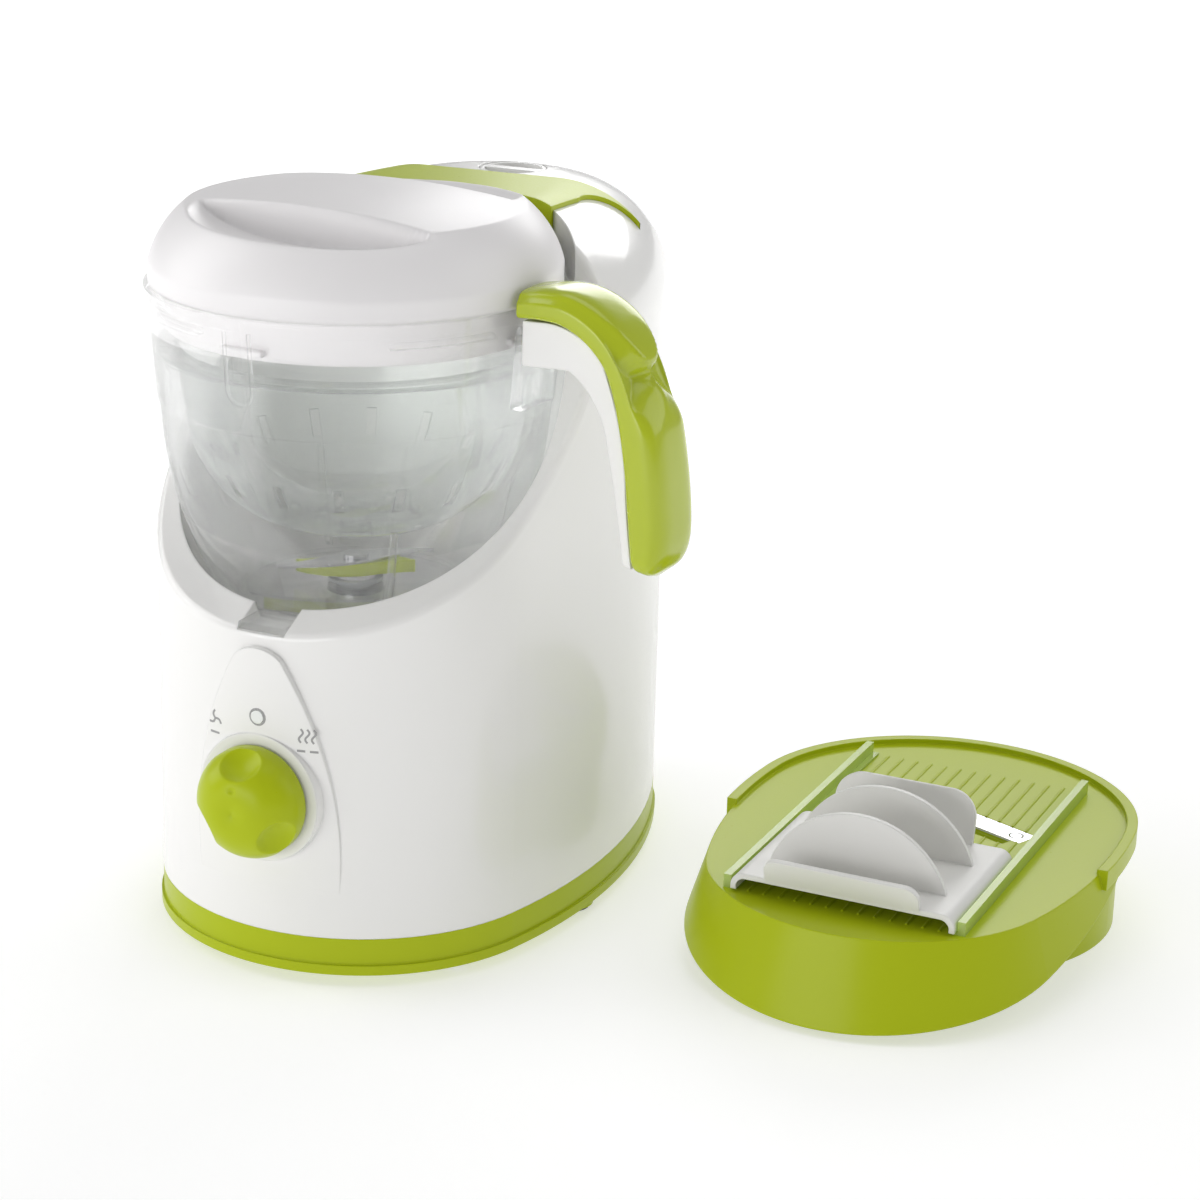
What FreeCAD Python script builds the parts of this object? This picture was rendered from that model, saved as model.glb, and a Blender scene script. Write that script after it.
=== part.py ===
"""Baby food maker: a steam cooker and blender with its jug, basket, lid and slicer top."""

import FreeCAD, Part
import math
import os
import re
import Sketcher

# Driving sizes in millimetres and degrees: the jug's axis is Z, the front faces -Y and the table is Z = 0
SIZES = {
    # plan of the housing, four tangent arcs
    "base_front_r": 82.0,
    "base_front_y": 6.0,
    "base_back_r": 75.0,
    "base_back_y": 118.0,
    "base_side_r": 254.0,
    # base tray, feet and housing shell
    "foot_h": 5.0,
    "foot_r": 8.0,
    "pad_h": 1.5,
    "foot_inset": 26.0,
    "foot_angle": 48.0,
    "boss_angle": 58.0,
    "gland_r": 6.0,
    "gland_h": 14.0,
    "gland_nose": 8.0,
    "tray_h": 15.0,
    "tray_wall": 2.6,
    "tray_bead": 1.0,
    "tray_bead_h": 4.0,
    "lip_h": 4.0,
    "tower_h": 265.0,
    "shoulder_r": 46.0,
    "wall": 3.0,
    "fit_gap": 0.3,
    "screw_r": 1.5,
    "boss_r": 4.5,
    "boss_h": 24.0,
    # scooped side line of the housing, from the front lip up to the tower
    "scoop_front_h": 120.5,
    "scoop_mid_y": -30.0,
    "scoop_mid_h": 147.5,
    "scoop_knee_y": 26.0,
    "scoop_knee_h": 201.0,
    "scoop_rise_y": 40.0,
    "scoop_rise_h": 223.0,
    "scoop_back_y": 46.0,
    "scoop_back_h": 250.0,
    "seat_h": 106.0,
    "tab_w": 20.0,
    "tab_h": 16.0,
    "tab_t": 3.0,
    "tab_deep": 24.0,
    "nest_gap": 3.0,
    "lip_round": 3.0,
    # raised control field and its knob
    "field_tilt": 1.6,
    "field_top_h": 117.0,
    "field_low_h": 18.0,
    "field_half": 31.0,
    "field_waist": 25.0,
    "field_waist_h": 79.0,
    "field_crown": 10.0,
    "knob_h": 56.0,
    "knob_r": 22.0,
    "knob_deep": 19.0,
    "knob_gap": 1.0,
    "dial_r": 26.0,
    "dial_proud": 2.0,
    "dent_r": 16.0,
    "dent_deep": 9.0,
    "spindle_r": 3.0,
    "nose_r": 5.0,
    "switch_w": 28.0,
    "switch_deep": 16.0,
    "board_w": 54.0,
    "board_h": 46.0,
    "board_t": 1.6,
    "lens_r": 2.7,
    "lens_h": 89.0,
    # cover on the tower's front top
    "cover_thick": 1.8,
    "cover_half": 52.0,
    "cover_tip": 68.0,
    "cover_seam_y": 117.0,
    "cover_drop": 22.0,
    # boiler and filler cap
    "boiler_y": 138.0,
    "boiler_r": 35.0,
    "boiler_h": 82.0,
    "boiler_wall": 2.0,
    "cap_r": 14.0,
    "well_h": 10.0,
    "cap_seal_t": 1.5,
    "cap_pocket": 5.0,
    "cap_bar_w": 6.0,
    "neck_h": 10.0,
    "heater_h": 8.0,
    "plug_r": 9.0,
    "plug_h": 14.0,
    "neck_wall": 3.0,
    "steam_h": 126.0,
    "steam_r": 5.0,
    "steam_bore": 3.0,
    # motor
    "motor_z": 28.0,
    "motor_r": 42.0,
    "stack_h": 40.0,
    "bell_h": 23.0,
    "bracket_t": 4.0,
    "rotor_r": 25.0,
    "air_gap": 1.0,
    "shaft_r": 4.0,
    "shaft_fit": 0.05,
    "bearing_r": 9.0,
    "bearing_h": 7.0,
    "mount_r": 6.0,
    "mount_ring_r": 32.0,
    "fan_r": 34.0,
    "fan_h": 9.0,
    "fan_blades": 9,
    "fan_vane": 1.4,
    "fan_sweep": 9.0,
    "rotor_slots": 12,
    "rotor_slot": 3.0,
    "brush_w": 5.0,
    "commutator_r": 10.0,
    "commutator_h": 9.0,
    # drive coupling
    "dog_count": 6,
    "dog_h": 3.4,
    "dog_gap": 0.4,
    "coupling_r": 12.0,
    "coupling_hub_h": 9.0,
    "coupling_seal_h": 4.0,
    "dog_span": 20.0,
    "plunger_r": 1.5,
    "interlock_x": 46.0,
    "interlock_deep": 8.0,
    # jug
    "jug_ring_r": 48.0,
    "jug_ring_w": 4.0,
    "jug_floor_h": 14.0,
    "jug_floor_r": 51.0,
    "jug_wall": 2.6,
    "jug_bowl_r": 65.5,
    "jug_bowl_h": 38.0,
    "jug_belly_r": 76.6,
    "jug_belly_h": 93.0,
    "jug_step": 1.0,
    "jug_rim_r": 82.2,
    "jug_h": 138.0,
    "rim_band": 5.0,
    "rib_t": 2.6,
    "rib_deep": 7.0,
    "rib_h": 38.0,
    "ledge_h": 128.0,
    "ledge_t": 2.5,
    "ledge_r": 75.0,
    "ledge_span": 32.0,
    "ledge_count": 4,
    "shelf_h": 112.0,
    "shelf_w": 2.1,
    "handle_turn": -7.0,
    "rib_turn": -41.0,
    "ledge_turn": -45.0,
    # handle on the jug, sizes from the jug's axis and above its rim
    "grip_w": 29.0,
    "shell_w": 23.0,
    "grip_reach": 146.5,
    "grip_rise": 9.0,
    "grip_fall": 94.0,
    "grip_round": 4.5,
    "bracket_drop": 20.0,
    "boss_out": 1.8,
    "boss_deep": 10.0,
    "boss_tall": 32.0,
    "boss_low": 38.0,
    "grip_screw_x": 94.0,
    # blade unit
    "bush_r": 8.0,
    "bush_flange_r": 11.0,
    "bush_flange_t": 1.2,
    "seal_h": 1.2,
    "paddle_turn": 20.0,
    "steel_turn": 43.0,
    "paddle_half": 23.5,
    "paddle_w": 10.0,
    "paddle_h": 5.0,
    "blade_half": 33.0,
    "blade_w": 9.0,
    "blade_t": 1.2,
    # basket
    "basket_r": 66.0,
    "basket_wall": 1.8,
    "basket_deep": 73.0,
    "basket_dish": 42.0,
    "basket_rim_t": 2.4,
    "slot_count": 16,
    "slot_w": 4.0,
    "slot_h": 10.0,
    # lid
    "lid_r": 80.3,
    "lid_h": 34.6,
    "lid_side_h": 8.0,
    "lid_crown": 4.6,
    "lid_wall": 2.4,
    "skirt_r": 74.2,
    "skirt_h": 17.0,
    "skirt_wall": 2.2,
    "lug_r": 77.0,
    "lug_t": 2.6,
    "lug_span": 14.0,
    "lug_turn": 40.0,
    "seal_w": 1.6,
    "seal_t": 2.0,
    "ridge_half": 33.0,
    "ridge_turn": -6.0,
    "scoop_long": 56.0,
    "scoop_wide": 40.0,
    "scoop_deep": 14.0,
    "scoop_shift": 6.0,
    # slicer top, its collar's centre and plan
    "slicer_x": 206.0,
    "slicer_y": 120.0,
    "slicer_front_r": 70.0,
    "slicer_front_y": -62.0,
    "slicer_back_r": 76.0,
    "slicer_back_y": 6.0,
    "slicer_side_r": 250.0,
    "slicer_h": 38.0,
    "slicer_wall": 2.4,
    "slicer_flare": 17.0,
    "visor_slope": 11.5,
    "collar_wall": 2.2,
    "rail_half": 47.0,
    "rail_w": 3.0,
    "rail_h": 5.5,
    "rail_front_y": -110.0,
    "rail_back_y": 53.0,
    "blade_turn": -22.8,
    "blade_len": 88.0,
    "blade_mid_x": 1.0,
    "blade_mid_y": 9.0,
    "steel_w": 11.0,
    "steel_t": 0.8,
    "throat_w": 7.0,
    "plate_t": 2.6,
    "rim_out": 3.5,
    "rim_up": 2.2,
    "rim_from_y": -29.0,
    "groove_pitch": 6.4,
    "groove_count": 6,
    "rail_foot": 2.5,
    "rim_drop": 6.0,
    "rib_fine": 0.4,
    "pusher_front_y": -112.0,
    "pusher_len": 72.0,
    "pusher_t": 2.2,
    "pusher_gap": 0.6,
    "pusher_h": 8.0,
    "pusher_round": 6.0,
    "lip_half": 31.0,
    "lip_tall": 11.0,
    "lip_lean": 20.0,
    "fin_half": 36.0,
    "fin_front": 18.0,
    "fin_back": 50.0,
    "panel_half": 29.0,
    "panel_tall": 22.0,
    "panel_lean": -12.0,
    "fin_h": 27.0,
}

DOC = FreeCAD.newDocument("baby_food_maker")
SHEET = DOC.addObject("Spreadsheet::Sheet", "dims")
NODES = {}

# Levels and places that follow from the driving sizes
HOUSING_Z = "(foot_h + tray_h)"
TOP_Z = f"({HOUSING_Z} + tower_h)"
SEAT_Z = f"({HOUSING_Z} + seat_h)"
RIM_Z = f"({SEAT_Z} + jug_h)"
BELLY_Z = f"({SEAT_Z} + jug_belly_h)"
FLOOR_Z = f"({SEAT_Z} + jug_floor_h)"
FLOOR_TOP_Z = f"({FLOOR_Z} + jug_wall)"
SHELF_Z = f"({SEAT_Z} + shelf_h)"
KNOB_Z = f"({HOUSING_Z} + knob_h)"
FRONT_Y = "(base_front_y - base_front_r)"
TRAY_FLOOR_Z = "(foot_h + tray_wall)"
MOTOR_TOP_Z = "(motor_z + 2 * bell_h + stack_h)"
COUPLING_Z = f"({SEAT_Z} + dog_gap)"
LID_Z = f"({RIM_Z} + dog_gap)"
LID_TOP_Z = f"({RIM_Z} + lid_h)"
STEAM_Z = f"({SEAT_Z} + steam_h)"
NEST_RIM_R = "(jug_rim_r + nest_gap)"


def fill_sheet():
    """Puts every driving size in the sheet under its own alias."""
    for row, (alias, size) in enumerate(SIZES.items(), start=1):
        SHEET.set(f"A{row}", str(size))
        SHEET.setAlias(f"A{row}", alias)
    DOC.recompute()


def bound(rule):
    """The rule with each size's name read from the sheet."""
    return re.sub(r"[a-z_]+", lambda name: f"dims.{name[0]}" if name[0] in SIZES else name[0], str(rule))


def value(rule):
    return float(SHEET.evalExpression(bound(rule)))


def bind(thing, name, rule):
    thing.setExpression(name, bound(rule))


def keep(name, thing):
    """Registers a finished sub-part under the label that names its file."""
    thing.Label = name
    NODES[name] = thing
    return thing


def place(thing, x="0", y="0", z="0", turn=None):
    """Places a sub-part, turned about the vertical where a turn is given."""
    bind(thing, "Placement.Base.x", x)
    bind(thing, "Placement.Base.y", y)
    bind(thing, "Placement.Base.z", z)
    if turn is not None:
        thing.Placement.Rotation = FreeCAD.Rotation(FreeCAD.Vector(0, 0, 1), 1)
        bind(thing, "Placement.Rotation.Angle", turn)
    return thing


def polar(radius, angle):
    return f"({radius}) * cos({angle})", f"({radius}) * sin({angle})"


# Sketches and features of a body


def new_body(name):
    return DOC.addObject("PartDesign::Body", name)


def origin_of(body, role):
    return next(feature for feature in body.Origin.OriginFeatures if feature.Role == role)


def sketch_on(body, role, lift="0"):
    sketch = body.newObject("Sketcher::SketchObject", f"{body.Name}_outline")
    sketch.AttachmentSupport = [(origin_of(body, role), "")]
    sketch.MapMode = "FlatFace"
    bind(sketch, "AttachmentOffset.Base.z", lift)
    return sketch


def drive(sketch, kind, where, rule):
    """Adds one dimension to a sketch and binds it to a rule."""
    index = sketch.addConstraint(Sketcher.Constraint(kind, *where, value(rule)))
    sketch.renameConstraint(index, f"size_{index}")
    bind(sketch, f"Constraints.size_{index}", rule)


def pin(sketch, item, end, spot):
    drive(sketch, "DistanceX", (-1, 1, item, end), spot[0])
    drive(sketch, "DistanceY", (-1, 1, item, end), spot[1])


def point(spot):
    return FreeCAD.Vector(value(spot[0]), value(spot[1]), 0)


def add_side(sketch, start, stop, via):
    """One side of an outline, straight or an arc through a third point, with its number and two ends."""
    if via is None:
        return sketch.addGeometry(Part.LineSegment(point(start), point(stop))), 1, 2
    first, middle, last = point(start), point(via), point(stop)
    item = sketch.addGeometry(Part.Arc(first, middle, last))
    mark = sketch.addGeometry(Part.Point(middle), True)
    pin(sketch, mark, 1, via)
    sketch.addConstraint(Sketcher.Constraint("PointOnObject", mark, 1, item))
    leftward = (middle - first).cross(last - middle).z > 0
    return (item, 1, 2) if leftward else (item, 2, 1)


def outline(sketch, corners, vias=None):
    """A closed outline through corners; vias gives the point that each arc side passes through."""
    vias = vias or {}
    following = corners[1:] + corners[:1]
    sides = [add_side(sketch, a, b, vias.get(i)) for i, (a, b) in enumerate(zip(corners, following))]
    for side, after, corner in zip(sides, sides[1:] + sides[:1], following):
        sketch.addConstraint(Sketcher.Constraint("Coincident", side[0], side[2], after[0], after[1]))
        pin(sketch, after[0], after[1], corner)
    return sketch


def disc(sketch, radius, x="0", y="0"):
    item = sketch.addGeometry(Part.Circle(point((x, y)), FreeCAD.Vector(0, 0, 1), value(radius)))
    pin(sketch, item, 3, (x, y))
    drive(sketch, "Radius", (item,), radius)
    return sketch


def oval(sketch, plan, inset="0"):
    """A plan of four tangent arcs, round at both ends and bowed at the sides, drawn in by inset."""
    front_r, back_r, side_r = (f"{plan}_{part}_r - ({inset})" for part in ("front", "back", "side"))
    front = FreeCAD.Vector(0, value(f"{plan}_front_y"), 0)
    back = FreeCAD.Vector(0, value(f"{plan}_back_y"), 0)
    to_front = value(f"{side_r} - ({front_r})")
    to_back = value(f"{side_r} - ({back_r})")
    span = (back - front).y
    along = (span**2 + to_front**2 - to_back**2) / (2 * span)
    reach = math.sqrt(to_front**2 - along**2)
    normal = FreeCAD.Vector(0, 0, 1)
    right, left = (FreeCAD.Vector(way * reach, front.y + along, 0) for way in (-1, 1))
    angle = lambda centre, spot: math.atan2((spot - centre).y, (spot - centre).x)
    low = angle(right, front)
    high = angle(right, back)
    arcs = (
        (front, front_r, math.pi - low, 2 * math.pi + low),
        (right, side_r, low, high),
        (back, back_r, high, math.pi - high),
        (left, side_r, math.pi - high, math.pi - low),
    )
    items = []
    for centre, radius, start, stop in arcs:
        ring = Part.Circle(centre, normal, value(radius))
        items.append(sketch.addGeometry(Part.ArcOfCircle(ring, start, stop)))
    for item, after in zip(items, items[1:] + items[:1]):
        sketch.addConstraint(Sketcher.Constraint("Tangent", item, 2, after, 1))
    for item, (_, radius, _, _) in zip(items, arcs):
        drive(sketch, "Radius", (item,), radius)
    for item, end in ((items[0], "front"), (items[2], "back")):
        sketch.addConstraint(Sketcher.Constraint("PointOnObject", item, 3, -2))
        drive(sketch, "DistanceY", (-1, 1, item, 3), f"{plan}_{end}_y")
    return sketch


def feature(body, kind, sketch):
    made = body.newObject(f"PartDesign::{kind}", f"{body.Name}_{kind.lower()}")
    made.Profile = sketch
    sketch.Visibility = False
    return made


def pad(body, sketch, length, both=False, back=False, taper=None):
    made = feature(body, "Pad", sketch)
    bind(made, "Length", length)
    made.SideType = "Symmetric" if both else "One side"
    made.Reversed = back
    if taper:
        bind(made, "TaperAngle", taper)
    return made


def pocket(body, sketch, length=None, both=False, back=False):
    made = feature(body, "Pocket", sketch)
    made.SideType = "Symmetric" if both else "One side"
    made.Reversed = back
    if length is None:
        made.Type = "ThroughAll"
    else:
        bind(made, "Length", length)
    return made


def turned(body, sketch, kind="Revolution", sweep=None):
    """A turned solid or cut about the sketch's upright axis, whole or over a centred sweep."""
    made = feature(body, kind, sketch)
    made.ReferenceAxis = (sketch, ["V_Axis"])
    made.Angle = 360
    if sweep:
        made.Midplane = True
        bind(made, "Angle", sweep)
    return made


def around(body, original, count):
    """Copies of a feature spaced evenly about the body's upright axis."""
    made = body.newObject("PartDesign::PolarPattern", f"{body.Name}_pattern")
    made.Originals = [original]
    made.Axis = (origin_of(body, "Z_Axis"), [""])
    made.Angle = 360
    bind(made, "Occurrences", count)
    body.Tip = made
    return made


def rounded(body, base, edges, radius):
    made = body.newObject("PartDesign::Fillet", f"{body.Name}_round")
    made.Base = (base, edges)
    bind(made, "Radius", radius)
    return made


def highest_face(thing):
    faces = enumerate(thing.Shape.Faces, start=1)
    return "Face%d" % max(faces, key=lambda pair: pair[1].CenterOfMass.z)[0]


# Primitives and booleans


def cylinder(name, radius, height, x="0", y="0", z="0"):
    made = DOC.addObject("Part::Cylinder", name)
    bind(made, "Radius", radius)
    bind(made, "Height", height)
    return place(made, x, y, z)


def lying(name, radius, length, x, y, z):
    """A cylinder whose axis runs towards +Y from its placed end."""
    made = cylinder(name, radius, length, x, y, z)
    made.Placement.Rotation = FreeCAD.Rotation(FreeCAD.Vector(1, 0, 0), -90)
    return made


def cut(name, base, tool):
    made = DOC.addObject("Part::Cut", name)
    made.Base = base
    made.Tool = tool
    return made


def fuse(name, parts):
    made = DOC.addObject("Part::MultiFuse", name)
    made.Shapes = parts
    return made


def group(name, parts):
    """Like pieces of one node, kept as separate solids."""
    made = DOC.addObject("Part::Compound", name)
    made.Links = parts
    return made


def common(name, base, tool):
    made = DOC.addObject("Part::Common", name)
    made.Base = base
    made.Tool = tool
    return made


def tube(name, radius, bore, height, x="0", y="0", z="0"):
    outer = cylinder(f"{name}_outer", radius, height, x, y, z)
    inner = cylinder(f"{name}_bore", bore, f"{height} + 2", x, y, f"{z} - 1")
    return cut(name, outer, inner)


def prism(name, role, corners, lift, length, vias=None, both=False, back=False):
    """A body padded from one outline."""
    body = new_body(name)
    pad(body, outline(sketch_on(body, role, lift), corners, vias), length, both, back)
    return body


def spun(name, corners, vias=None):
    """A body turned about the upright axis from one outline of radius and height."""
    body = new_body(name)
    turned(body, outline(sketch_on(body, "XZ_Plane"), corners, vias))
    return body


def block(name, wide, deep, tall, x="0", y="0", z="0", turn=None):
    """A square-edged block centred on x and y that stands on z."""
    body = new_body(name)
    left, right = f"-({wide}) / 2", f"({wide}) / 2"
    near, far = f"-({deep}) / 2", f"({deep}) / 2"
    sketch = sketch_on(body, "XY_Plane")
    pad(body, outline(sketch, [(left, near), (right, near), (right, far), (left, far)]), tall)
    return place(body, x, y, z, turn)


# Housing and base


def housing_form(name, inset, floor):
    """The housing's form drawn in by inset: oval shaft, round shoulders, scooped front and jug well."""
    body = new_body(name)
    shaft = pad(
        body, oval(sketch_on(body, "XY_Plane", floor), "base", inset), f"{TOP_Z} - ({inset}) - {floor}"
    )
    DOC.recompute()
    rounded(body, shaft, [highest_face(shaft)], f"shoulder_r - ({inset})")
    spot = lambda y, h: (f"{y} + ({inset})", f"{HOUSING_Z} + {h} - ({inset})")
    front = f"{FRONT_Y} - 4"
    clear = "tower_h + 40"
    corners = [
        spot(front, "scoop_front_h"),
        spot("scoop_knee_y", "scoop_knee_h"),
        spot("scoop_back_y", "scoop_back_h"),
        spot("scoop_back_y", clear),
        spot(front, clear),
    ]
    vias = {0: spot("scoop_mid_y", "scoop_mid_h"), 1: spot("scoop_rise_y", "scoop_rise_h")}
    pocket(body, outline(sketch_on(body, "YZ_Plane"), corners, vias), both=True)
    well = [
        ("0", f"{SEAT_Z} - ({inset})"),
        (f"jug_ring_r + nest_gap / 2 + ({inset})", f"{SEAT_Z} - ({inset})"),
        (f"jug_belly_r + jug_step + nest_gap + ({inset})", BELLY_Z),
        (f"{NEST_RIM_R} + ({inset})", RIM_Z),
        (f"{NEST_RIM_R} + ({inset})", f"{TOP_Z} + 40"),
        ("0", f"{TOP_Z} + 40"),
    ]
    bowl = {1: (f"jug_bowl_r + nest_gap + ({inset})", f"{SEAT_Z} + jug_bowl_h")}
    turned(body, outline(sketch_on(body, "XZ_Plane"), well, bowl), "Groove")
    return body


def front_lip(form):
    """The name of the edge where the scoop meets the front wall."""
    high = value(SEAT_Z)
    middle = lambda edge: edge.valueAt((edge.FirstParameter + edge.LastParameter) / 2)
    spots = [
        (middle(edge).y, index)
        for index, edge in enumerate(form.Shape.Edges, start=1) if middle(edge).z > high
    ]
    return f"Edge{min(spots)[1]}"


def foot_spots():
    """Where the feet stand: in pairs under the front arc, at the waist and under the back arc."""
    front, back = "(base_front_r - foot_inset)", "(base_back_r - foot_inset)"
    waist = ("(base_front_r - foot_r + 3)", "((base_front_y + base_back_y) / 2 - 18)")
    front_spot = (f"{front} * sin(foot_angle)", f"(base_front_y - {front} * cos(foot_angle))")
    back_spot = (f"{back} * sin(foot_angle)", f"(base_back_y + {back} * cos(foot_angle))")
    return [(f"{side} * {x}", y) for x, y in (front_spot, waist, back_spot) for side in ("1", "-1")]


def boss_spots():
    """Where the four housing screws stand, just inside the wall."""
    front, back = ("(base_%s_r - wall - boss_r + 1)" % end for end in ("front", "back"))
    front_spot = (f"{front} * sin(boss_angle)", f"(base_front_y - {front} * cos(boss_angle))")
    back_spot = (f"{back} * sin(boss_angle)", f"(base_back_y + {back} * cos(boss_angle))")
    return [(f"{side} * {x}", y) for x, y in (front_spot, back_spot) for side in ("1", "-1")]


def field_front(height):
    """Y of the raised control field at a height above the housing's lower edge, on the middle line."""
    return f"({FRONT_Y} - ({height} - field_low_h) * tan(field_tilt))"


def make_base_tray():
    """Green tray with a bead round its edge, an upstand inside the housing wall, posts and foot lobes."""
    body = new_body("tray_dish")
    pad(body, oval(sketch_on(body, "XY_Plane", "foot_h"), "base", "-tray_bead"), "tray_bead_h")
    pad(
        body, oval(sketch_on(body, "XY_Plane", "foot_h + tray_bead_h"), "base", "0"), "tray_h - tray_bead_h"
    )
    pocket(body, oval(sketch_on(body, "XY_Plane", HOUSING_Z), "base", "tray_wall"), "tray_h - tray_wall")
    upstand = oval(sketch_on(body, "XY_Plane", "foot_h"), "base", "wall + fit_gap")
    pad(body, oval(upstand, "base", "wall + fit_gap + tray_wall"), "tray_h + lip_h")
    lobes = [cylinder("foot_lobe", "foot_r + 1.5", "foot_h", x, y, "pad_h") for x, y in foot_spots()]
    room = [
        cylinder("boss_room", "boss_r + fit_gap", "lip_h + 2", x, y, HOUSING_Z) for x, y in boss_spots()
    ]
    posts = [cylinder("tray_post", "boss_r", "tray_h - 1", x, y, "foot_h + 1") for x, y in boss_spots()]
    holes = [
        cylinder("tray_hole", "screw_r + fit_gap", "tray_h + 2", x, y, "foot_h - 1")
        for x, y in boss_spots()
    ]
    dish = cut("tray_cut", fuse("tray_whole", [body, *lobes, *posts]), fuse("tray_holes", room + holes))
    keep("base_tray", dish)


def make_rubber_feet():
    keep(
        "rubber_feet",
        group("feet", [cylinder("foot_pad", "foot_r", "pad_h", x, y) for x, y in foot_spots()]),
    )


def make_housing_screws():
    parts = []
    for x, y in boss_spots():
        shank = cylinder("screw_shank", "screw_r", "tray_h + boss_h / 2", x, y, "foot_h - 0.5")
        head = cylinder("screw_head", "screw_r * 2", "screw_r * 1.4", x, y, "foot_h - screw_r * 1.4")
        parts.append(fuse("housing_screw", [shank, head]))
    keep("housing_screws", group("screws", parts))


def control_field():
    """Raised teardrop on the front wall, standing further out towards its top."""
    drum = cylinder(
        "field_drum", "base_front_r", "field_top_h", "0", "base_front_y", f"{HOUSING_Z} + field_low_h"
    )
    drum.Placement.Rotation = FreeCAD.Rotation(FreeCAD.Vector(1, 0, 0), 1)
    bind(drum, "Placement.Rotation.Angle", "field_tilt")
    low, top = f"{HOUSING_Z} + field_low_h + 1", f"{HOUSING_Z} + field_top_h"
    corners = [
        ("-field_half", low),
        ("field_half", low),
        ("field_crown", f"{top} - field_crown / 2.5"),
        ("-field_crown", f"{top} - field_crown / 2.5"),
    ]
    waist = f"{HOUSING_Z} + field_waist_h"
    vias = {1: ("field_waist", waist), 2: ("0", top), 3: ("-field_waist", waist)}
    drop = prism("field_drop", "XZ_Plane", corners, f"-({FRONT_Y}) - 12", "32", vias)
    return common("field_pad", drum, drop)


def make_main_housing():
    """White moulded housing: the outer form with its control field and dial boss, hollow inside."""
    outer = housing_form("housing_outer", "0", HOUSING_Z)
    DOC.recompute()
    rounded(outer, outer.Tip, [front_lip(outer)], "lip_round")
    core = housing_form("housing_core", "wall", f"({HOUSING_Z} - 1)")
    tab_y = f"({FRONT_Y} + tab_deep / 2 - 2)"
    tab_z = f"({SEAT_Z} + tab_h - fit_gap)"
    notch = block("tab_notch", "tab_w + 2 * fit_gap", "tab_deep + 4", "40", "0", tab_y, tab_z)
    keeper = block(
        "tab_wall", "tab_w + 2 * wall", "tab_deep + 4 + wall", "40", "0", tab_y, f"{tab_z} - wall"
    )
    hollow = cut("housing_hollow", core, keeper)
    dial = lying("dial_boss", "dial_r", "dial_proud + 20", "0", f"{FRONT_Y} - dial_proud", KNOB_Z)
    solid = fuse("housing_solid", [outer, control_field(), dial])
    shell = cut("housing_shell", solid, hollow)
    bosses = [cylinder("boss", "boss_r", "boss_h", x, y, HOUSING_Z) for x, y in boss_spots()]
    collar = cylinder(
        "cap_collar", "cap_r + fit_gap + tray_wall", "well_h - 1", "0", "boiler_y", f"{TOP_Z} - well_h"
    )
    holes = [
        notch,
        cylinder("coupling_hole", "coupling_r + 1", "wall + 2", z=f"{SEAT_Z} - wall - 1"),
        cylinder("cap_hole", "cap_r + fit_gap", "well_h + 2", "0", "boiler_y", f"{TOP_Z} - well_h - 1"),
        lying("spindle_hole", "nose_r + fit_gap / 2", "40", "0", f"{FRONT_Y} - 20", KNOB_Z),
        lying("lens_hole", "lens_r + fit_gap / 2", "40", "0", f"{FRONT_Y} - 20", f"{HOUSING_Z} + lens_h"),
        lying("steam_hole", "steam_r + fit_gap / 2", "20", "0", f"{NEST_RIM_R} - 5", STEAM_Z),
        lying(
            "cord_hole", "gland_r", "20", "0", "base_back_y + base_back_r - 10", f"{HOUSING_Z} + gland_h"
        ),
        cylinder(
            "plunger_hole",
            "plunger_r + fit_gap / 2",
            "wall + 2",
            "interlock_x",
            "0",
            f"{SEAT_Z} - wall - 1",
        ),
    ]
    holes += [
        cylinder("boss_bore", "screw_r + 0.02", "boss_h - 4", x, y, f"{HOUSING_Z} - 1")
        for x, y in boss_spots()
    ]
    keep(
        "main_housing",
        cut("housing_cut", fuse("housing_whole", [shell, *bosses, collar]), fuse("housing_holes", holes)),
    )
    return outer


def make_top_cover(outer):
    """Green cover on the front of the tower's top, with horns along its rear seam."""
    grown = housing_form("cover_form", "-cover_thick", HOUSING_Z)
    near = f"{NEST_RIM_R} - 40"
    corners = [
        ("-cover_half", near),
        ("cover_half", near),
        ("cover_half", "cover_seam_y - 26"),
        ("cover_tip", "cover_seam_y"),
        ("-cover_tip", "cover_seam_y"),
        ("-cover_half", "cover_seam_y - 26"),
    ]
    vias = {2: ("cover_half + 3.5", "cover_seam_y - 8"), 4: ("-cover_half - 3.5", "cover_seam_y - 8")}
    plan = prism("cover_plan", "XY_Plane", corners, f"{TOP_Z} - cover_drop", "cover_drop + 10", vias)
    keep("top_cover", cut("cover_skin", common("cover_patch", grown, plan), outer))


def against_wall(name, thing):
    """The part of a piece inside the housing's front wall, so that it seats on the curved wall."""
    inside = cylinder(f"{name}_room", "base_front_r - wall", "tower_h", "0", "base_front_y", HOUSING_Z)
    return common(name, thing, inside)


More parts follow.
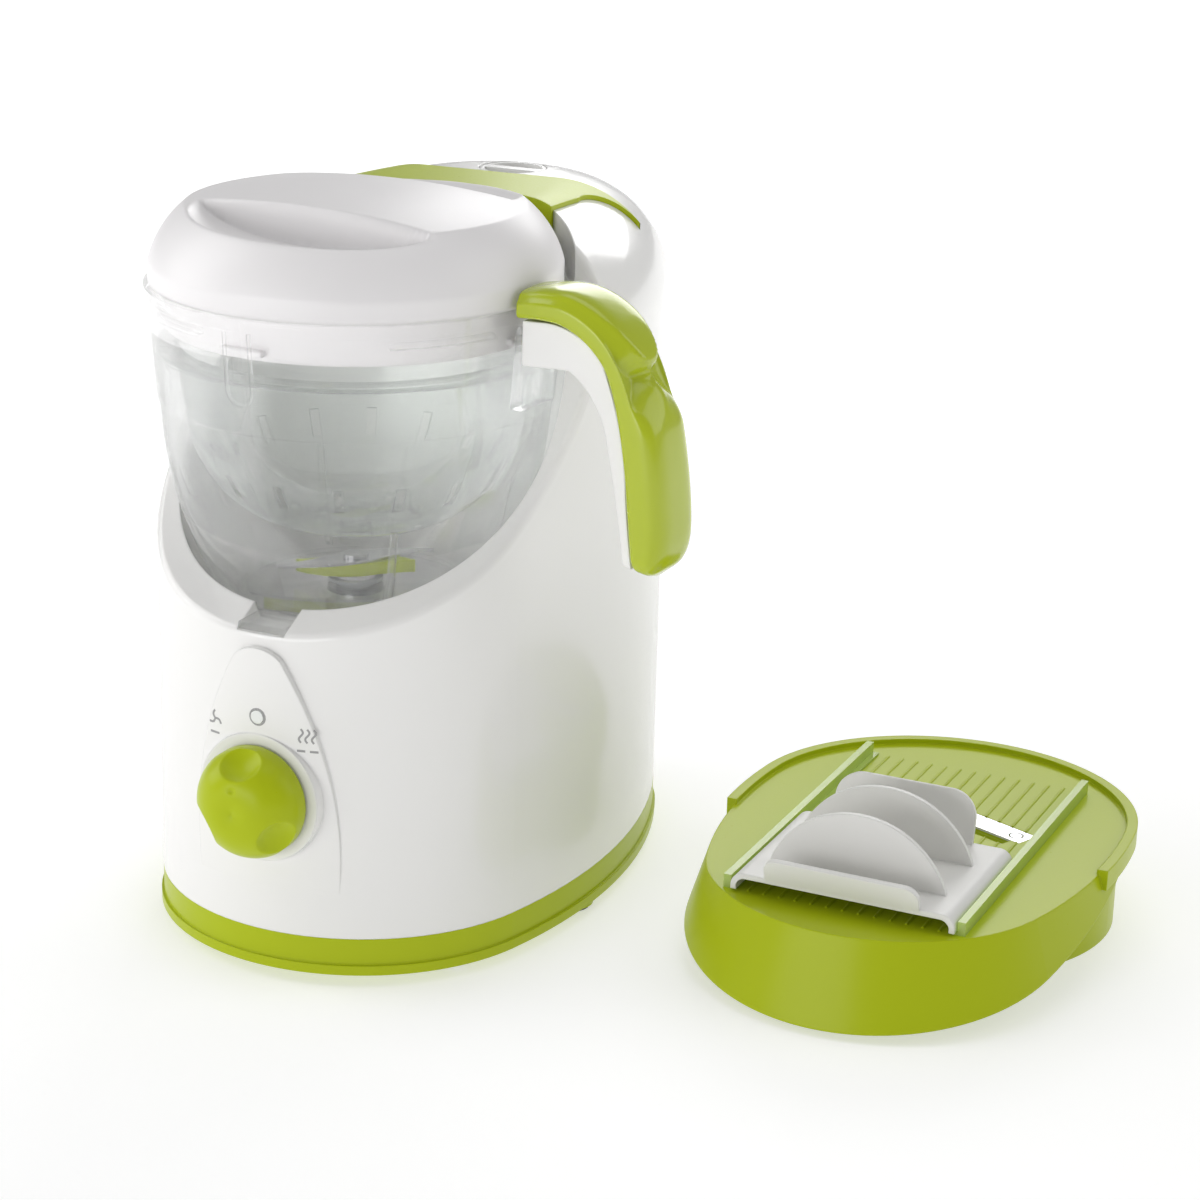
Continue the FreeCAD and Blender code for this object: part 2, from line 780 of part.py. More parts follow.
def make_controls():
    """Knob and spindle, the selector switch behind them, its board and the indicator lens."""
    dial_y = f"({FRONT_Y} - dial_proud)"
    back_y = f"({dial_y} - knob_gap)"
    corners = [
        ("0", "0"),
        ("knob_r - 1", "0"),
        ("knob_r", "1"),
        ("knob_r", "knob_deep * 0.35"),
        ("0", "knob_deep"),
    ]
    head = spun("knob_head", corners, {3: ("knob_r * 0.78", "knob_deep * 0.8")})
    scoops = []
    for angle in ("90", "210", "330"):
        ball = DOC.addObject("Part::Sphere", "knob_scoop")
        bind(ball, "Radius", "dent_r")
        reach = "(knob_r + dent_r - dent_deep)"
        scoops.append(place(ball, *polar(reach, angle), "knob_deep + 1", angle))
    bore = cylinder("knob_bore", "spindle_r + shaft_fit", "knob_deep * 0.6 + 1", z="-1")
    knob = cut("knob_body", head, fuse("knob_cuts", [*scoops, bore]))
    knob.Placement.Rotation = FreeCAD.Rotation(FreeCAD.Vector(1, 0, 0), 90)
    bind(knob, "Placement.Base.y", back_y)
    bind(knob, "Placement.Base.z", KNOB_Z)
    keep("knob", knob)
    tip_y = f"({back_y} - knob_deep * 0.6)"
    switch_y = f"({FRONT_Y} + wall + 3)"
    keep(
        "knob_shaft",
        lying("spindle", "spindle_r", f"{switch_y} + switch_deep / 2 - {tip_y}", "0", tip_y, KNOB_Z),
    )
    case_y = f"{switch_y} + switch_deep / 2"
    case = block(
        "switch_case", "switch_w", "switch_deep", "switch_w", "0", case_y, f"{KNOB_Z} - switch_w / 2"
    )
    nose = lying("switch_nose", "nose_r", f"{switch_y} - {dial_y} + 1", "0", dial_y, KNOB_Z)
    shoulder = against_wall(
        "switch_shoulder", lying("switch_ring", "nose_r + 4", "10", "0", f"{switch_y} - 9", KNOB_Z)
    )
    seat = lying(
        "switch_bore", "spindle_r + shaft_fit", "switch_deep / 2 + 30", "0", f"{switch_y} - 30", KNOB_Z
    )
    keep("selector_switch", cut("switch_body", fuse("switch_whole", [case, shoulder, nose]), seat))
    board_y = f"{switch_y} + switch_deep + board_t / 2"
    keep(
        "circuit_board",
        block("board", "board_w", "board_t", "board_h", "0", board_y, f"{KNOB_Z} - switch_w / 2"),
    )
    lens_y = f"({field_front('lens_h')} - 0.4)"
    lens_z = f"{HOUSING_Z} + lens_h"
    button = lying("lens_button", "lens_r", f"{FRONT_Y} + wall + 1 - {lens_y}", "0", lens_y, lens_z)
    ring = lying("lens_ring", "lens_r + 1.5", "wall + 2", "0", FRONT_Y, lens_z)
    keep("indicator_lens", fuse("lens", [button, against_wall("lens_flange", ring)]))


def make_boiler():
    """Boiler tank with its filler neck, ring heater and thermostat, and the steam way to the jug."""
    top = f"({TOP_Z} - well_h - neck_h)"
    low = f"({top} - boiler_h)"
    shell = cylinder("tank_shell", "boiler_r", "boiler_h", "0", "boiler_y", low)
    neck = cylinder("tank_neck", "plug_r + fit_gap + neck_wall", "neck_h", "0", "boiler_y", top)
    flange = cylinder(
        "neck_flange", "cap_r + 4", "neck_wall", "0", "boiler_y", f"{TOP_Z} - well_h - neck_wall"
    )
    room_h = "boiler_h - 2 * boiler_wall"
    room = cylinder("tank_room", "boiler_r - boiler_wall", room_h, "0", "boiler_y", f"{low} + boiler_wall")
    bore_h = "neck_h + boiler_wall + 2"
    bore = cylinder("neck_bore", "plug_r + fit_gap", bore_h, "0", "boiler_y", f"{top} - boiler_wall - 1")
    outlet = lying("tank_outlet", "steam_bore", "boiler_r", "0", "boiler_y - boiler_r - 1", STEAM_Z)
    tank = cut("tank", fuse("tank_whole", [shell, neck, flange]), fuse("tank_hollow", [room, bore, outlet]))
    keep("boiler_tank", tank)
    ring = tube("heater", "boiler_r - 8", "boiler_r - 16", "heater_h", "0", "boiler_y", f"{low} - heater_h")
    keep("heating_ring", ring)
    keep(
        "thermostat",
        cylinder("cutout", "boiler_r / 4", "heater_h + 2", "0", "boiler_y", f"{low} - heater_h - 2"),
    )
    hose_y = f"({NEST_RIM_R} + wall + 4)"
    nozzle_y = f"({NEST_RIM_R} + fit_gap)"
    mouth = lying("nozzle_body", "steam_r", f"{hose_y} - {nozzle_y}", "0", nozzle_y, STEAM_Z)
    keep(
        "steam_nozzle",
        cut("nozzle", mouth, lying("nozzle_bore", "steam_bore", "60", "0", f"{nozzle_y} - 1", STEAM_Z)),
    )
    run = lying("hose_body", "steam_r", f"boiler_y - {hose_y}", "0", hose_y, STEAM_Z)
    ends = fuse("hose_cuts", [shell, lying("hose_bore", "steam_bore", "80", "0", f"{hose_y} - 1", STEAM_Z)])
    keep("steam_hose", cut("hose", run, ends))


def make_boiler_cap():
    """Flush filler cap with a grip bar between two finger pockets, a plug below it and a flat seal."""
    seat = f"({TOP_Z} - well_h)"
    keep(
        "boiler_cap_seal",
        tube("cap_seal", "cap_r - 1", "plug_r + fit_gap", "cap_seal_t", "0", "boiler_y", seat),
    )
    head_z = f"({seat} + cap_seal_t)"
    head = cylinder("cap_head", "cap_r", f"{TOP_Z} - fit_gap - {head_z}", "0", "boiler_y", head_z)
    plug = cylinder("cap_plug", "plug_r", "plug_h + 1", "0", "boiler_y", f"{head_z} - plug_h")
    room = cylinder("cap_room", "cap_r - 2", "20", "0", "boiler_y", f"{TOP_Z} - cap_pocket")
    bar = block("cap_bar", "cap_r * 2", "cap_bar_w", "30", "0", "boiler_y", f"{TOP_Z} - cap_pocket - 5")
    keep("boiler_cap", cut("cap", fuse("cap_whole", [head, plug]), cut("cap_pockets", room, bar)))


def make_motor():
    """Motor between two bell brackets on rubber mounts, with its fan, brushes and drive coupling."""
    bell_in = "(motor_r - bracket_t)"
    stack_z, top = "(motor_z + bell_h)", MOTOR_TOP_Z
    for name, plate, inner, rim in (
        ("lower_bracket", "motor_z", "motor_z + bracket_t", stack_z),
        ("upper_bracket", top, f"{top} - bracket_t", f"{stack_z} + stack_h"),
    ):
        corners = [
            ("bearing_r", plate),
            ("motor_r", plate),
            ("motor_r", rim),
            (bell_in, rim),
            (bell_in, inner),
            ("bearing_r", inner),
        ]
        keep(name, spun(f"{name}_bell", corners))
    keep("motor_stator", tube("stator", "motor_r", "rotor_r + air_gap", "stack_h", z=stack_z))
    bearings = [
        tube("bearing", "bearing_r", "shaft_r + shaft_fit", "bearing_h", z=z)
        for z in ("motor_z", f"{top} - bearing_h")
    ]
    keep("motor_bearings", group("bearings", bearings))
    mounts = [
        cylinder("mount", "mount_r", f"motor_z - {TRAY_FLOOR_Z}", f"mount_ring_r * cos({angle})",
                 f"mount_ring_r * sin({angle})", TRAY_FLOOR_Z)
        for angle in (45, 135, 225, 315)
    ]
    keep("motor_mounts", group("mounts", mounts))
    brush_z = f"{stack_z} + stack_h + 5"
    reach = f"({bell_in} - commutator_r - fit_gap)"
    bell = cylinder("brush_room", bell_in, "brush_w + 2", z=f"{brush_z} - 1")
    brushes = []
    for side in ("1", "-1"):
        x = f"{side} * (commutator_r + fit_gap + {reach} / 2)"
        brushes.append(
            common("brush_seated", block("brush", reach, "brush_w", "brush_w", x, "0", brush_z), bell)
        )
    keep("carbon_brushes", group("brushes", brushes))
    hub_z = f"({COUPLING_Z} - coupling_hub_h)"
    keep("motor_shaft", cylinder("shaft", "shaft_r", f"{COUPLING_Z} - 1 - motor_z + 5", z="motor_z - 5"))
    bore = "shaft_r + shaft_fit"
    bar_z = f"{stack_z} + stack_h + 3"
    corners = [
        (bore, f"{stack_z} + 1"),
        ("rotor_r", f"{stack_z} + 1"),
        ("rotor_r", f"{stack_z} + stack_h - 1"),
        ("commutator_r + 4", f"{stack_z} + stack_h + 2"),
        ("commutator_r", bar_z),
        ("commutator_r", f"{bar_z} + commutator_h"),
        (bore, f"{bar_z} + commutator_h"),
    ]
    rotor = spun("rotor", corners)
    slot = sketch_on(rotor, "XY_Plane", f"{stack_z} + stack_h + 2")
    slot_in, slot_out = "rotor_r - rotor_slot * 2", "rotor_r + 2"
    half = "rotor_slot / 2"
    outline(slot, [(slot_in, f"-{half}"), (slot_out, f"-{half}"), (slot_out, half), (slot_in, half)])
    around(rotor, pocket(rotor, slot, "stack_h + 4"), "rotor_slots")
    keep("motor_armature", rotor)
    fan_z = "(motor_z + bearing_h + 2)"
    disc_top, hub_top = f"{fan_z} + fan_vane", f"{fan_z} + fan_h"
    corners = [
        (bore, fan_z),
        ("fan_r", fan_z),
        ("fan_r", disc_top),
        ("bearing_r", disc_top),
        ("bearing_r", hub_top),
        (bore, hub_top),
    ]
    fan = spun("fan", corners)
    corners = [
        ("bearing_r - 1", "-fan_vane / 2"),
        ("fan_r - 1", "fan_sweep - fan_vane / 2"),
        ("fan_r - 1", "fan_sweep + fan_vane / 2"),
        ("bearing_r - 1", "fan_vane / 2"),
    ]
    vane = outline(sketch_on(fan, "XY_Plane", fan_z), corners)
    around(fan, pad(fan, vane, "fan_h"), "fan_blades")
    keep("cooling_fan", fan)
    keep("drive_coupling", coupling("drive_dogs", bore, hub_z, COUPLING_Z, COUPLING_Z, "0"))
    keep("shaft_seal", tube("seal_ring", "coupling_r + 6", "coupling_r + fit_gap", "coupling_seal_h",
                            z=f"{SEAT_Z} - wall - coupling_seal_h"))


def coupling(name, bore, low, high, dogs_from, turn):
    """One half of the drive: a disc on its shaft with wedge dogs standing from the given level."""
    body = spun(name, [(bore, low), ("coupling_r", low), ("coupling_r", high), (bore, high)])
    sketch = sketch_on(body, "XZ_Plane")
    top = f"{dogs_from} + dog_h"
    sides = [
        ("coupling_r * 0.55", dogs_from),
        ("coupling_r", dogs_from),
        ("coupling_r", top),
        ("coupling_r * 0.55", top),
    ]
    around(body, turned(body, outline(sketch, sides), sweep="dog_span"), "dog_count")
    return place(body, turn=turn)


def make_fittings():
    """Interlock switch under the jug seat and the cord gland in the rear wall."""
    case = block(
        "interlock_case",
        "20",
        "8",
        "interlock_deep",
        "interlock_x",
        "0",
        f"{SEAT_Z} - wall - interlock_deep",
    )
    pin_z = f"{SEAT_Z} - wall - 1"
    keep(
        "interlock_switch",
        fuse(
            "interlock", [case, cylinder("plunger", "plunger_r", "wall + 0.6", "interlock_x", "0", pin_z)]
        ),
    )
    back_y = "(base_back_y + base_back_r)"
    z = f"{HOUSING_Z} + gland_h"
    skin = cylinder("gland_wall", "base_back_r", "tower_h", "0", "base_back_y", HOUSING_Z)
    flange = cut("gland_flange", lying("gland_disc", "gland_r + 3", "6", "0", f"{back_y} - 3", z), skin)
    sleeve = lying("gland_sleeve", "gland_r - fit_gap / 2", "9", "0", f"{back_y} - 8", z)
    nose = lying("gland_tip", "gland_r - 0.5", "gland_nose", "0", f"{back_y} + 3", z)
    bore = lying("gland_bore", "gland_r / 2", "gland_nose + 20", "0", f"{back_y} - 8", z)
    throat = lying("gland_throat", "gland_r / 2 + 1.2", "12", "0", f"{back_y} - 10", z)
    whole = fuse("gland_whole", [flange, sleeve, nose])
    keep("cord_gland", cut("gland", whole, fuse("gland_holes", [bore, throat])))


# Jug, its handle and the blade unit, drawn with the handle at +X and turned into place


def edges_through(thing, spots):
    """Names of the edges that pass through the given points."""
    marks = [Part.Vertex(FreeCAD.Vector(*spot)) for spot in spots]
    edges = list(enumerate(thing.Shape.Edges, start=1))
    return [
        f"Edge{number}" for mark in marks for number, edge in edges if edge.distToShape(mark)[0] < 0.001
    ]


def jug_outside():
    corners = [
        ("0", FLOOR_Z),
        ("jug_ring_r - jug_ring_w", FLOOR_Z),
        ("jug_ring_r - jug_ring_w", SEAT_Z),
        ("jug_ring_r", SEAT_Z),
        ("jug_ring_r", f"{SEAT_Z} + jug_ring_w"),
        ("jug_belly_r", BELLY_Z),
        ("jug_belly_r + jug_step", f"{BELLY_Z} + jug_step"),
        ("jug_rim_r - jug_step", f"{RIM_Z} - rim_band"),
        ("jug_rim_r", f"{RIM_Z} - rim_band + jug_step / 2"),
        ("jug_rim_r", RIM_Z),
        ("0", RIM_Z),
    ]
    return spun("jug_outer", corners, {4: ("jug_bowl_r", f"{SEAT_Z} + jug_bowl_h")})


def jug_inside():
    """The space in the jug: bowl, basket shelf and lid neck, less the ledges and ribs that stay."""
    neck = "lug_r + 0.5"
    corners = [
        ("0", FLOOR_TOP_Z),
        ("jug_floor_r", FLOOR_TOP_Z),
        ("jug_belly_r - jug_wall", BELLY_Z),
        (f"{neck} - shelf_w", SHELF_Z),
        (neck, SHELF_Z),
        (neck, f"{RIM_Z} + 1"),
        ("0", f"{RIM_Z} + 1"),
    ]
    room = spun("jug_room", corners, {1: ("jug_bowl_r - jug_wall", f"{SEAT_Z} + jug_bowl_h")})
    ledges = new_body("jug_ledges")
    low, high = f"{SEAT_Z} + ledge_h", f"{SEAT_Z} + ledge_h + ledge_t"
    section = [("ledge_r", low), ("jug_rim_r", low), ("jug_rim_r", high), ("ledge_r", high)]
    ledge = turned(ledges, outline(sketch_on(ledges, "XZ_Plane"), section), sweep="ledge_span")
    around(ledges, ledge, "ledge_count")
    place(ledges, turn="ledge_turn")
    ribs = new_body("jug_ribs")
    section = [
        ("jug_floor_r - rib_deep", f"{FLOOR_TOP_Z} - 1"),
        ("jug_rim_r", f"{FLOOR_TOP_Z} - 1"),
        ("jug_rim_r", f"{FLOOR_TOP_Z} + rib_h"),
        ("jug_bowl_r - rib_deep / 2", f"{FLOOR_TOP_Z} + rib_h"),
    ]
    rib = pad(ribs, outline(sketch_on(ribs, "XZ_Plane"), section), "rib_t", both=True)
    around(ribs, rib, "ledge_count")
    place(ribs, turn="rib_turn")
    return cut("jug_space", room, fuse("jug_inserts", [ledges, ribs]))


def make_jug():
    """Clear jug with a handle boss, a front lock tab, bayonet ledges, ribs and a shelf for the basket."""
    root_x = "jug_rim_r + boss_out - boss_deep / 2"
    boss = block("handle_boss", "boss_deep", "shell_w - 1", "boss_tall", root_x, "0", f"{RIM_Z} - boss_low")
    front = "(-90 - (handle_turn))"
    x, y = polar(f"-({FRONT_Y}) - 1 - tab_deep * 0.4", front)
    tab = block("lock_tab", "tab_deep * 0.8", "tab_w", "tab_t", x, y, f"{SEAT_Z} + tab_h", front)
    back = "(90 - (handle_turn))"
    x, y = polar("jug_rim_r - 15", back)
    port = lying("steam_port", "steam_r - 1", "30", x, y, STEAM_Z)
    bush = cylinder("bush_hole", "bush_r + fit_gap", "jug_wall + 2", z=f"{FLOOR_Z} - 1")
    solid = fuse("jug_solid", [jug_outside(), boss, tab])
    jug = cut("jug_cut", solid, fuse("jug_openings", [jug_inside(), port, bush]))
    keep("jug", place(jug, turn="handle_turn"))


def handle_spot(reach, rise):
    """A point of the handle's side view: a share of its reach from the rim, and a height from the rim."""
    return f"jug_rim_r + fit_gap + (grip_reach - jug_rim_r - fit_gap) * {reach}", f"{RIM_Z} + ({rise})"


def handle_seam():
    """The line where the grip lies on the shell, from jug to tip, and the points its arcs pass."""
    corners = [(0, "-3"), (0.19, "-2.5"), (0.57, "-15.5"), (0.74, "-63"), (0.79, "-90")]
    vias = [(0.40, "-5.8"), (0.68, "-36"), (0.762, "-77")]
    return [handle_spot(*spot) for spot in corners], [handle_spot(*spot) for spot in vias]


def make_handle():
    """Two-part handle: the green grip over a white shell that is screwed to the jug's boss."""
    seam, seam_vias = handle_seam()
    crest = [
        handle_spot(0.79, "-grip_fall - 1.5"),
        handle_spot(0.91, "-grip_fall + 2"),
        handle_spot(0.977, "-59"),
        handle_spot(0.60, "grip_rise / 18"),
        handle_spot(0, "grip_rise - 1"),
    ]
    over = {
        5: handle_spot(0.86, "-grip_fall - 1"),
        6: handle_spot(1, "-76"),
        7: handle_spot(0.85, "-21"),
        8: handle_spot(0.32, "grip_rise + 0.7"),
    }
    vias = {1: seam_vias[0], 2: seam_vias[1], 3: seam_vias[2], **over}
    grip = prism("grip", "XZ_Plane", seam + crest, "0", "grip_w", vias, both=True)
    DOC.recompute()
    half = value("grip_w / 2")
    spots = [(value(x), side * half, value(z)) for x, z in over.values() for side in (1, -1)]
    rounded(grip, grip.Tip, edges_through(grip, spots), "grip_round")
    inner = [handle_spot(0.735, "-89"), handle_spot(0.60, "-42"), handle_spot(0.34, "-19")]
    root = "jug_rim_r + boss_out"
    corners = [(root, seam[0][1]), *seam[1:], *inner, (root, f"{RIM_Z} - bracket_drop")]
    vias = {
        1: seam_vias[0],
        2: seam_vias[1],
        3: seam_vias[2],
        5: handle_spot(0.665, "-62"),
        6: handle_spot(0.50, "-28"),
    }
    shell = prism("shell", "XZ_Plane", corners, "0", "shell_w", vias, both=True)
    places = ("grip_screw_x", "grip_screw_x + 12")
    low = f"{RIM_Z} - bracket_drop - 1"
    bores, pilots, screws = [], [], []
    for x in places:
        head = cylinder("grip_head", "screw_r * 2", "screw_r * 1.4", x, "0", f"{low} + 2")
        shank = cylinder("grip_shank", "screw_r", "bracket_drop + 1", x, "0", f"{low} + 2")
        screws.append(fuse("grip_screw", [head, shank]))
        bores.append(cylinder("grip_bore", "screw_r + fit_gap", "40", x, "0", f"{low} - 1"))
        bores.append(
            cylinder("grip_sink", "screw_r * 2 + fit_gap", "screw_r * 1.4 + 3", x, "0", f"{low} - 1")
        )
        pilots.append(cylinder("grip_pilot", "screw_r + 0.02", "bracket_drop + 2", x, "0", f"{low} + 2"))
    keep("handle_grip", place(cut("grip_cut", grip, fuse("grip_pilots", pilots)), turn="handle_turn"))
    keep("handle_shell", place(cut("shell_cut", shell, fuse("shell_bores", bores)), turn="handle_turn"))
    keep("handle_screws", place(group("grip_screws", screws), turn="handle_turn"))


def swirl(name, half, wide, low, thick, turn):
    """A flat S-shaped blade centred on the axis, with a bore for the blade shaft."""
    spot = lambda along, across: (f"({half}) * {along}", f"({wide}) * {across}")
    corners = [spot(1, 0.3), spot(-0.25, 0.5), spot(-1, -0.3), spot(0.25, -0.5)]
    vias = {0: spot(0.38, 0.8), 1: spot(-0.68, -0.05), 2: spot(-0.38, -0.8), 3: spot(0.68, 0.05)}
    body = prism(name, "XY_Plane", corners, low, thick, vias)
    pocket(body, disc(sketch_on(body, "XY_Plane", f"{low} + {thick} + 1"), "shaft_r + shaft_fit"))
    return place(body, turn=turn)


def make_blade_unit():
    """Blade shaft in its flanged bush, with the driven dogs below the floor and two blades above it."""
    disc_z = f"({COUPLING_Z} + dog_h + dog_gap)"
    disc_top = f"({disc_z} + 2.5)"
    flange_top = f"({FLOOR_TOP_Z} + bush_flange_t)"
    paddle_z = f"({flange_top} + seal_h + dog_gap / 2)"
    steel_z = f"({paddle_z} + paddle_h)"
    bore = "shaft_r + shaft_fit"
    low = f"{disc_top} + dog_gap"
    corners = [
        (bore, low),
        ("bush_r", low),
        ("bush_r", FLOOR_TOP_Z),
        ("bush_flange_r", FLOOR_TOP_Z),
        ("bush_flange_r", flange_top),
        (bore, flange_top),
    ]
    keep("blade_bush", spun("bush", corners))
    keep("blade_seal", tube("blade_ring", "bush_r", "shaft_r + fit_gap", "seal_h", z=flange_top))
    keep(
        "driven_coupling",
        coupling("driven_dogs", bore, disc_z, disc_top, f"{COUPLING_Z} + dog_gap", "180 / dog_count"),
    )
    shank = cylinder("blade_shank", "shaft_r", f"{steel_z} + blade_t - {disc_z} - 0.5", z=f"{disc_z} + 0.5")
    nut = cylinder("blade_nut", "shaft_r + 1", "blade_t + 0.4", z=f"{steel_z} + blade_t")
    keep("blade_shaft", fuse("blade_stem", [shank, nut]))
    keep("blade_hub", swirl("paddle", "paddle_half", "paddle_w", paddle_z, "paddle_h", "paddle_turn"))
    keep("steel_blades", swirl("steel", "blade_half", "blade_w", steel_z, "blade_t", "steel_turn"))


# Basket and lid


def make_basket():
    """Steaming basket: flange on the jug's shelf, tapered wall and a dish with slots and bottom holes."""
    top = f"({SHELF_Z} + basket_rim_t)"
    low = f"({top} - basket_deep)"
    edge = f"{low} + basket_dish"
    inside = "basket_wall"
    corners = [
        ("0", low),
        ("basket_r * 0.36", low),
        ("basket_r", edge),
        ("basket_r + 4.5", SHELF_Z),
        ("lug_r", SHELF_Z),
        ("lug_r", top),
        (f"basket_r + 4.5 - {inside}", top),
        (f"basket_r - {inside}", edge),
        ("basket_r * 0.36", f"{low} + {inside}"),
        ("0", f"{low} + {inside}"),
    ]
    dish = f"{low} + basket_dish * 0.38"
    vias = {
        1: ("basket_r * 0.82", dish),
        7: (f"basket_r * 0.82 - {inside} * 0.8", f"{dish} + {inside} * 0.6"),
    }
    basket = spun("basket_shell", corners, vias)
    slot = sketch_on(basket, "YZ_Plane", "basket_r / 2")
    half, foot = "slot_w / 2", f"{low} + basket_dish * 0.45"
    outline(
        slot,
        [(f"-{half}", foot), (half, foot), (half, f"{foot} + slot_h"), (f"-{half}", f"{foot} + slot_h")],
    )
    around(basket, pocket(basket, slot, back=True), "slot_count")
    DOC.recompute()
    for ring in ("basket_r * 0.22", "basket_r * 0.42"):
        hole = pocket(
            basket,
            disc(sketch_on(basket, "XY_Plane", f"{low} + basket_dish / 2"), "slot_w / 2", ring),
            "basket_dish",
        )
        around(basket, hole, "slot_count / 2")
        DOC.recompute()
    keep("basket", basket)


def lid_form(name, inset, low):
    """The lid's round form drawn in by inset, from a level up."""
    corners = [
        ("0", low),
        (f"lid_r - ({inset})", low),
        (f"lid_r - ({inset})", f"{LID_Z} + lid_side_h"),
        (f"lid_r * 0.82 - ({inset}) * 0.6", f"{LID_TOP_Z} - lid_crown - ({inset}) * 0.8"),
        ("0", f"{LID_TOP_Z} - ({inset})"),
    ]
    vias = {
        2: (f"lid_r * 0.955 - ({inset}) * 0.8", f"{LID_Z} + lid_side_h * 2.1 - ({inset}) * 0.6"),
        3: (f"lid_r * 0.44 - ({inset}) * 0.3", f"{LID_TOP_Z} - lid_crown * 0.22 - ({inset}) * 0.95"),
    }
    return spun(name, corners, vias)


def lid_scoops(name, grow):
    """The two finger hollows beside the grip ridge, grown by a wall to keep the inside clear of them."""
    hollows = []
    for turn in ("ridge_turn", "ridge_turn + 180"):
        dent = DOC.addObject("Part::Ellipsoid", f"{name}_dent")
        bind(dent, "Radius1", f"scoop_deep + {grow}")
        bind(dent, "Radius2", f"scoop_long + {grow}")
        bind(dent, "Radius3", f"scoop_wide + {grow}")
        place(dent, "scoop_shift", "-ridge_half", f"{LID_TOP_Z} - 1")
        top, foot = f"{LID_TOP_Z} + 20", f"{LID_TOP_Z} - 30"
        near = f"-ridge_half + {grow}"
        corners = [(f"{near} + 4", top), (f"{near} - 7", foot), ("-lid_r", foot), ("-lid_r", top)]
        side = prism(f"{name}_side", "YZ_Plane", corners, "0", "lid_r * 2", both=True)
        hollows.append(place(common(f"{name}_hollow", dent, side), turn=turn))
    return fuse(name, hollows)


def make_lid():
    """Domed lid with a grip ridge between two hollows, a skirt with bayonet lugs, and a seal in its rim."""
    seal_in, seal_out = "lug_r + 0.6", "lug_r + 0.6 + seal_w"
    keep("lid_seal", tube("rim_seal", seal_out, seal_in, "seal_t", z=RIM_Z))
    groove_h = f"{RIM_Z} + seal_t - {LID_Z} + 1"
    groove = tube("seal_groove", f"{seal_out} + fit_gap", f"{seal_in} - fit_gap", groove_h, z=f"{LID_Z} - 1")
    skirt = cylinder("lid_skirt", "skirt_r", "skirt_h + 1", z=f"{LID_Z} - skirt_h")
    space = lid_form("lid_space", "lid_wall", f"{LID_Z} - skirt_h - 1")
    room = common(
        "lid_room", space, cylinder("lid_bore", "skirt_r - skirt_wall", "100", z=f"{LID_Z} - skirt_h - 1")
    )
    hollow = cut("lid_hollow", room, lid_scoops("lid_keep", "lid_wall"))
    lugs = new_body("lid_lugs")
    low, high = f"{SEAT_Z} + ledge_h - dog_gap - lug_t", f"{SEAT_Z} + ledge_h - dog_gap"
    section = [("skirt_r - 1", low), ("lug_r", low), ("lug_r", high), ("skirt_r - 1", high)]
    lug = turned(lugs, outline(sketch_on(lugs, "XZ_Plane"), section), sweep="lug_span")
    around(lugs, lug, "ledge_count")
    place(lugs, turn="handle_turn + ledge_turn + lug_turn")
    port = lying("lid_port", "steam_r", "30", "0", "skirt_r - 15", STEAM_Z)
    solid = fuse("lid_solid", [lid_form("lid_outer", "0", LID_Z), skirt, lugs])
    cuts = fuse("lid_cuts", [hollow, lid_scoops("lid_scoops", "0"), groove, port])
    keep("lid", cut("lid_cut", solid, cuts))


# Slicer top and its pusher, drawn round the collar's centre


def slicer_form(name, inset, top):
    """The slicer's flared form drawn in by inset, from its top level down."""
    body = new_body(name)
    plan = oval(sketch_on(body, "XY_Plane", top), "slicer", inset)
    pad(body, plan, f"{top} + 20", back=True, taper="slicer_flare")
    return body


def blade_block(name, long, wide, tall, forward, low):
    """A block along the slicing blade, shifted forward of its middle line."""
    x = f"blade_mid_x + ({forward}) * sin(blade_turn)"
    y = f"blade_mid_y - ({forward}) * cos(blade_turn)"
    return block(name, long, wide, tall, x, y, low, "blade_turn")


def make_slicer_body():
    """Flared plate on a round collar, with a rear rim, fine ribs, a throat and a recess for the blade."""
    under = slicer_form("slicer_under", "slicer_wall", "slicer_h - plate_t")
    shell = cut("slicer_shell", slicer_form("slicer_outer", "0", "slicer_h"), under)
    level = "slicer_h - rim_drop"
    fall = f"{level} - 200 * tan(visor_slope)"
    corners = [("-200", fall), ("0", level), ("200", level), ("200", "-60"), ("-200", "-60")]
    visor = cut("slicer_visor", shell, prism("slicer_below", "YZ_Plane", corners, "0", "400", both=True))
    rim = new_body("slicer_rim")
    edge = oval(sketch_on(rim, "XY_Plane", "slicer_h - rim_drop"), "slicer", "-rim_out")
    pad(rim, oval(edge, "slicer", "slicer_wall / 3"), "rim_drop + rim_up")
    front = block("rim_front", "400", "400", "60", "0", "rim_from_y - 200", "slicer_h - 30")
    collar = tube("slicer_collar", "skirt_r", "skirt_r - collar_wall", "slicer_h - 1")
    ribs = []
    for number in range(-SIZES["groove_count"], SIZES["groove_count"] + 1):
        x = f"groove_pitch * ({number})"
        deep, mid = "rail_back_y - (rail_front_y)", "(rail_back_y + rail_front_y) / 2"
        ribs.append(
            block("plate_rib", "rib_fine * 2", deep, "plate_t", x, mid, "slicer_h + rib_fine - plate_t")
        )
    parts = [visor, cut("slicer_rim_part", rim, front), collar, *ribs]
    cuts = [
        blade_block(
            "blade_recess", "blade_len + fit_gap", "steel_w + fit_gap", "20", "0", "slicer_h - steel_t"
        ),
        blade_block(
            "blade_throat",
            "blade_len - 8",
            "throat_w",
            "40",
            "steel_w / 2 + throat_w / 2 - 1",
            "slicer_h - 20",
        ),
        *[
            blade_screw_part("screw_pilot", "screw_r + 0.02", "plate_t + 1", side, "slicer_h - plate_t - 1")
            for side in "+-"
        ],
    ]
    body = cut("slicer_cut", fuse("slicer_whole", parts), fuse("slicer_cuts", cuts))
    keep("slicer_body", place(body, "slicer_x", "slicer_y"))


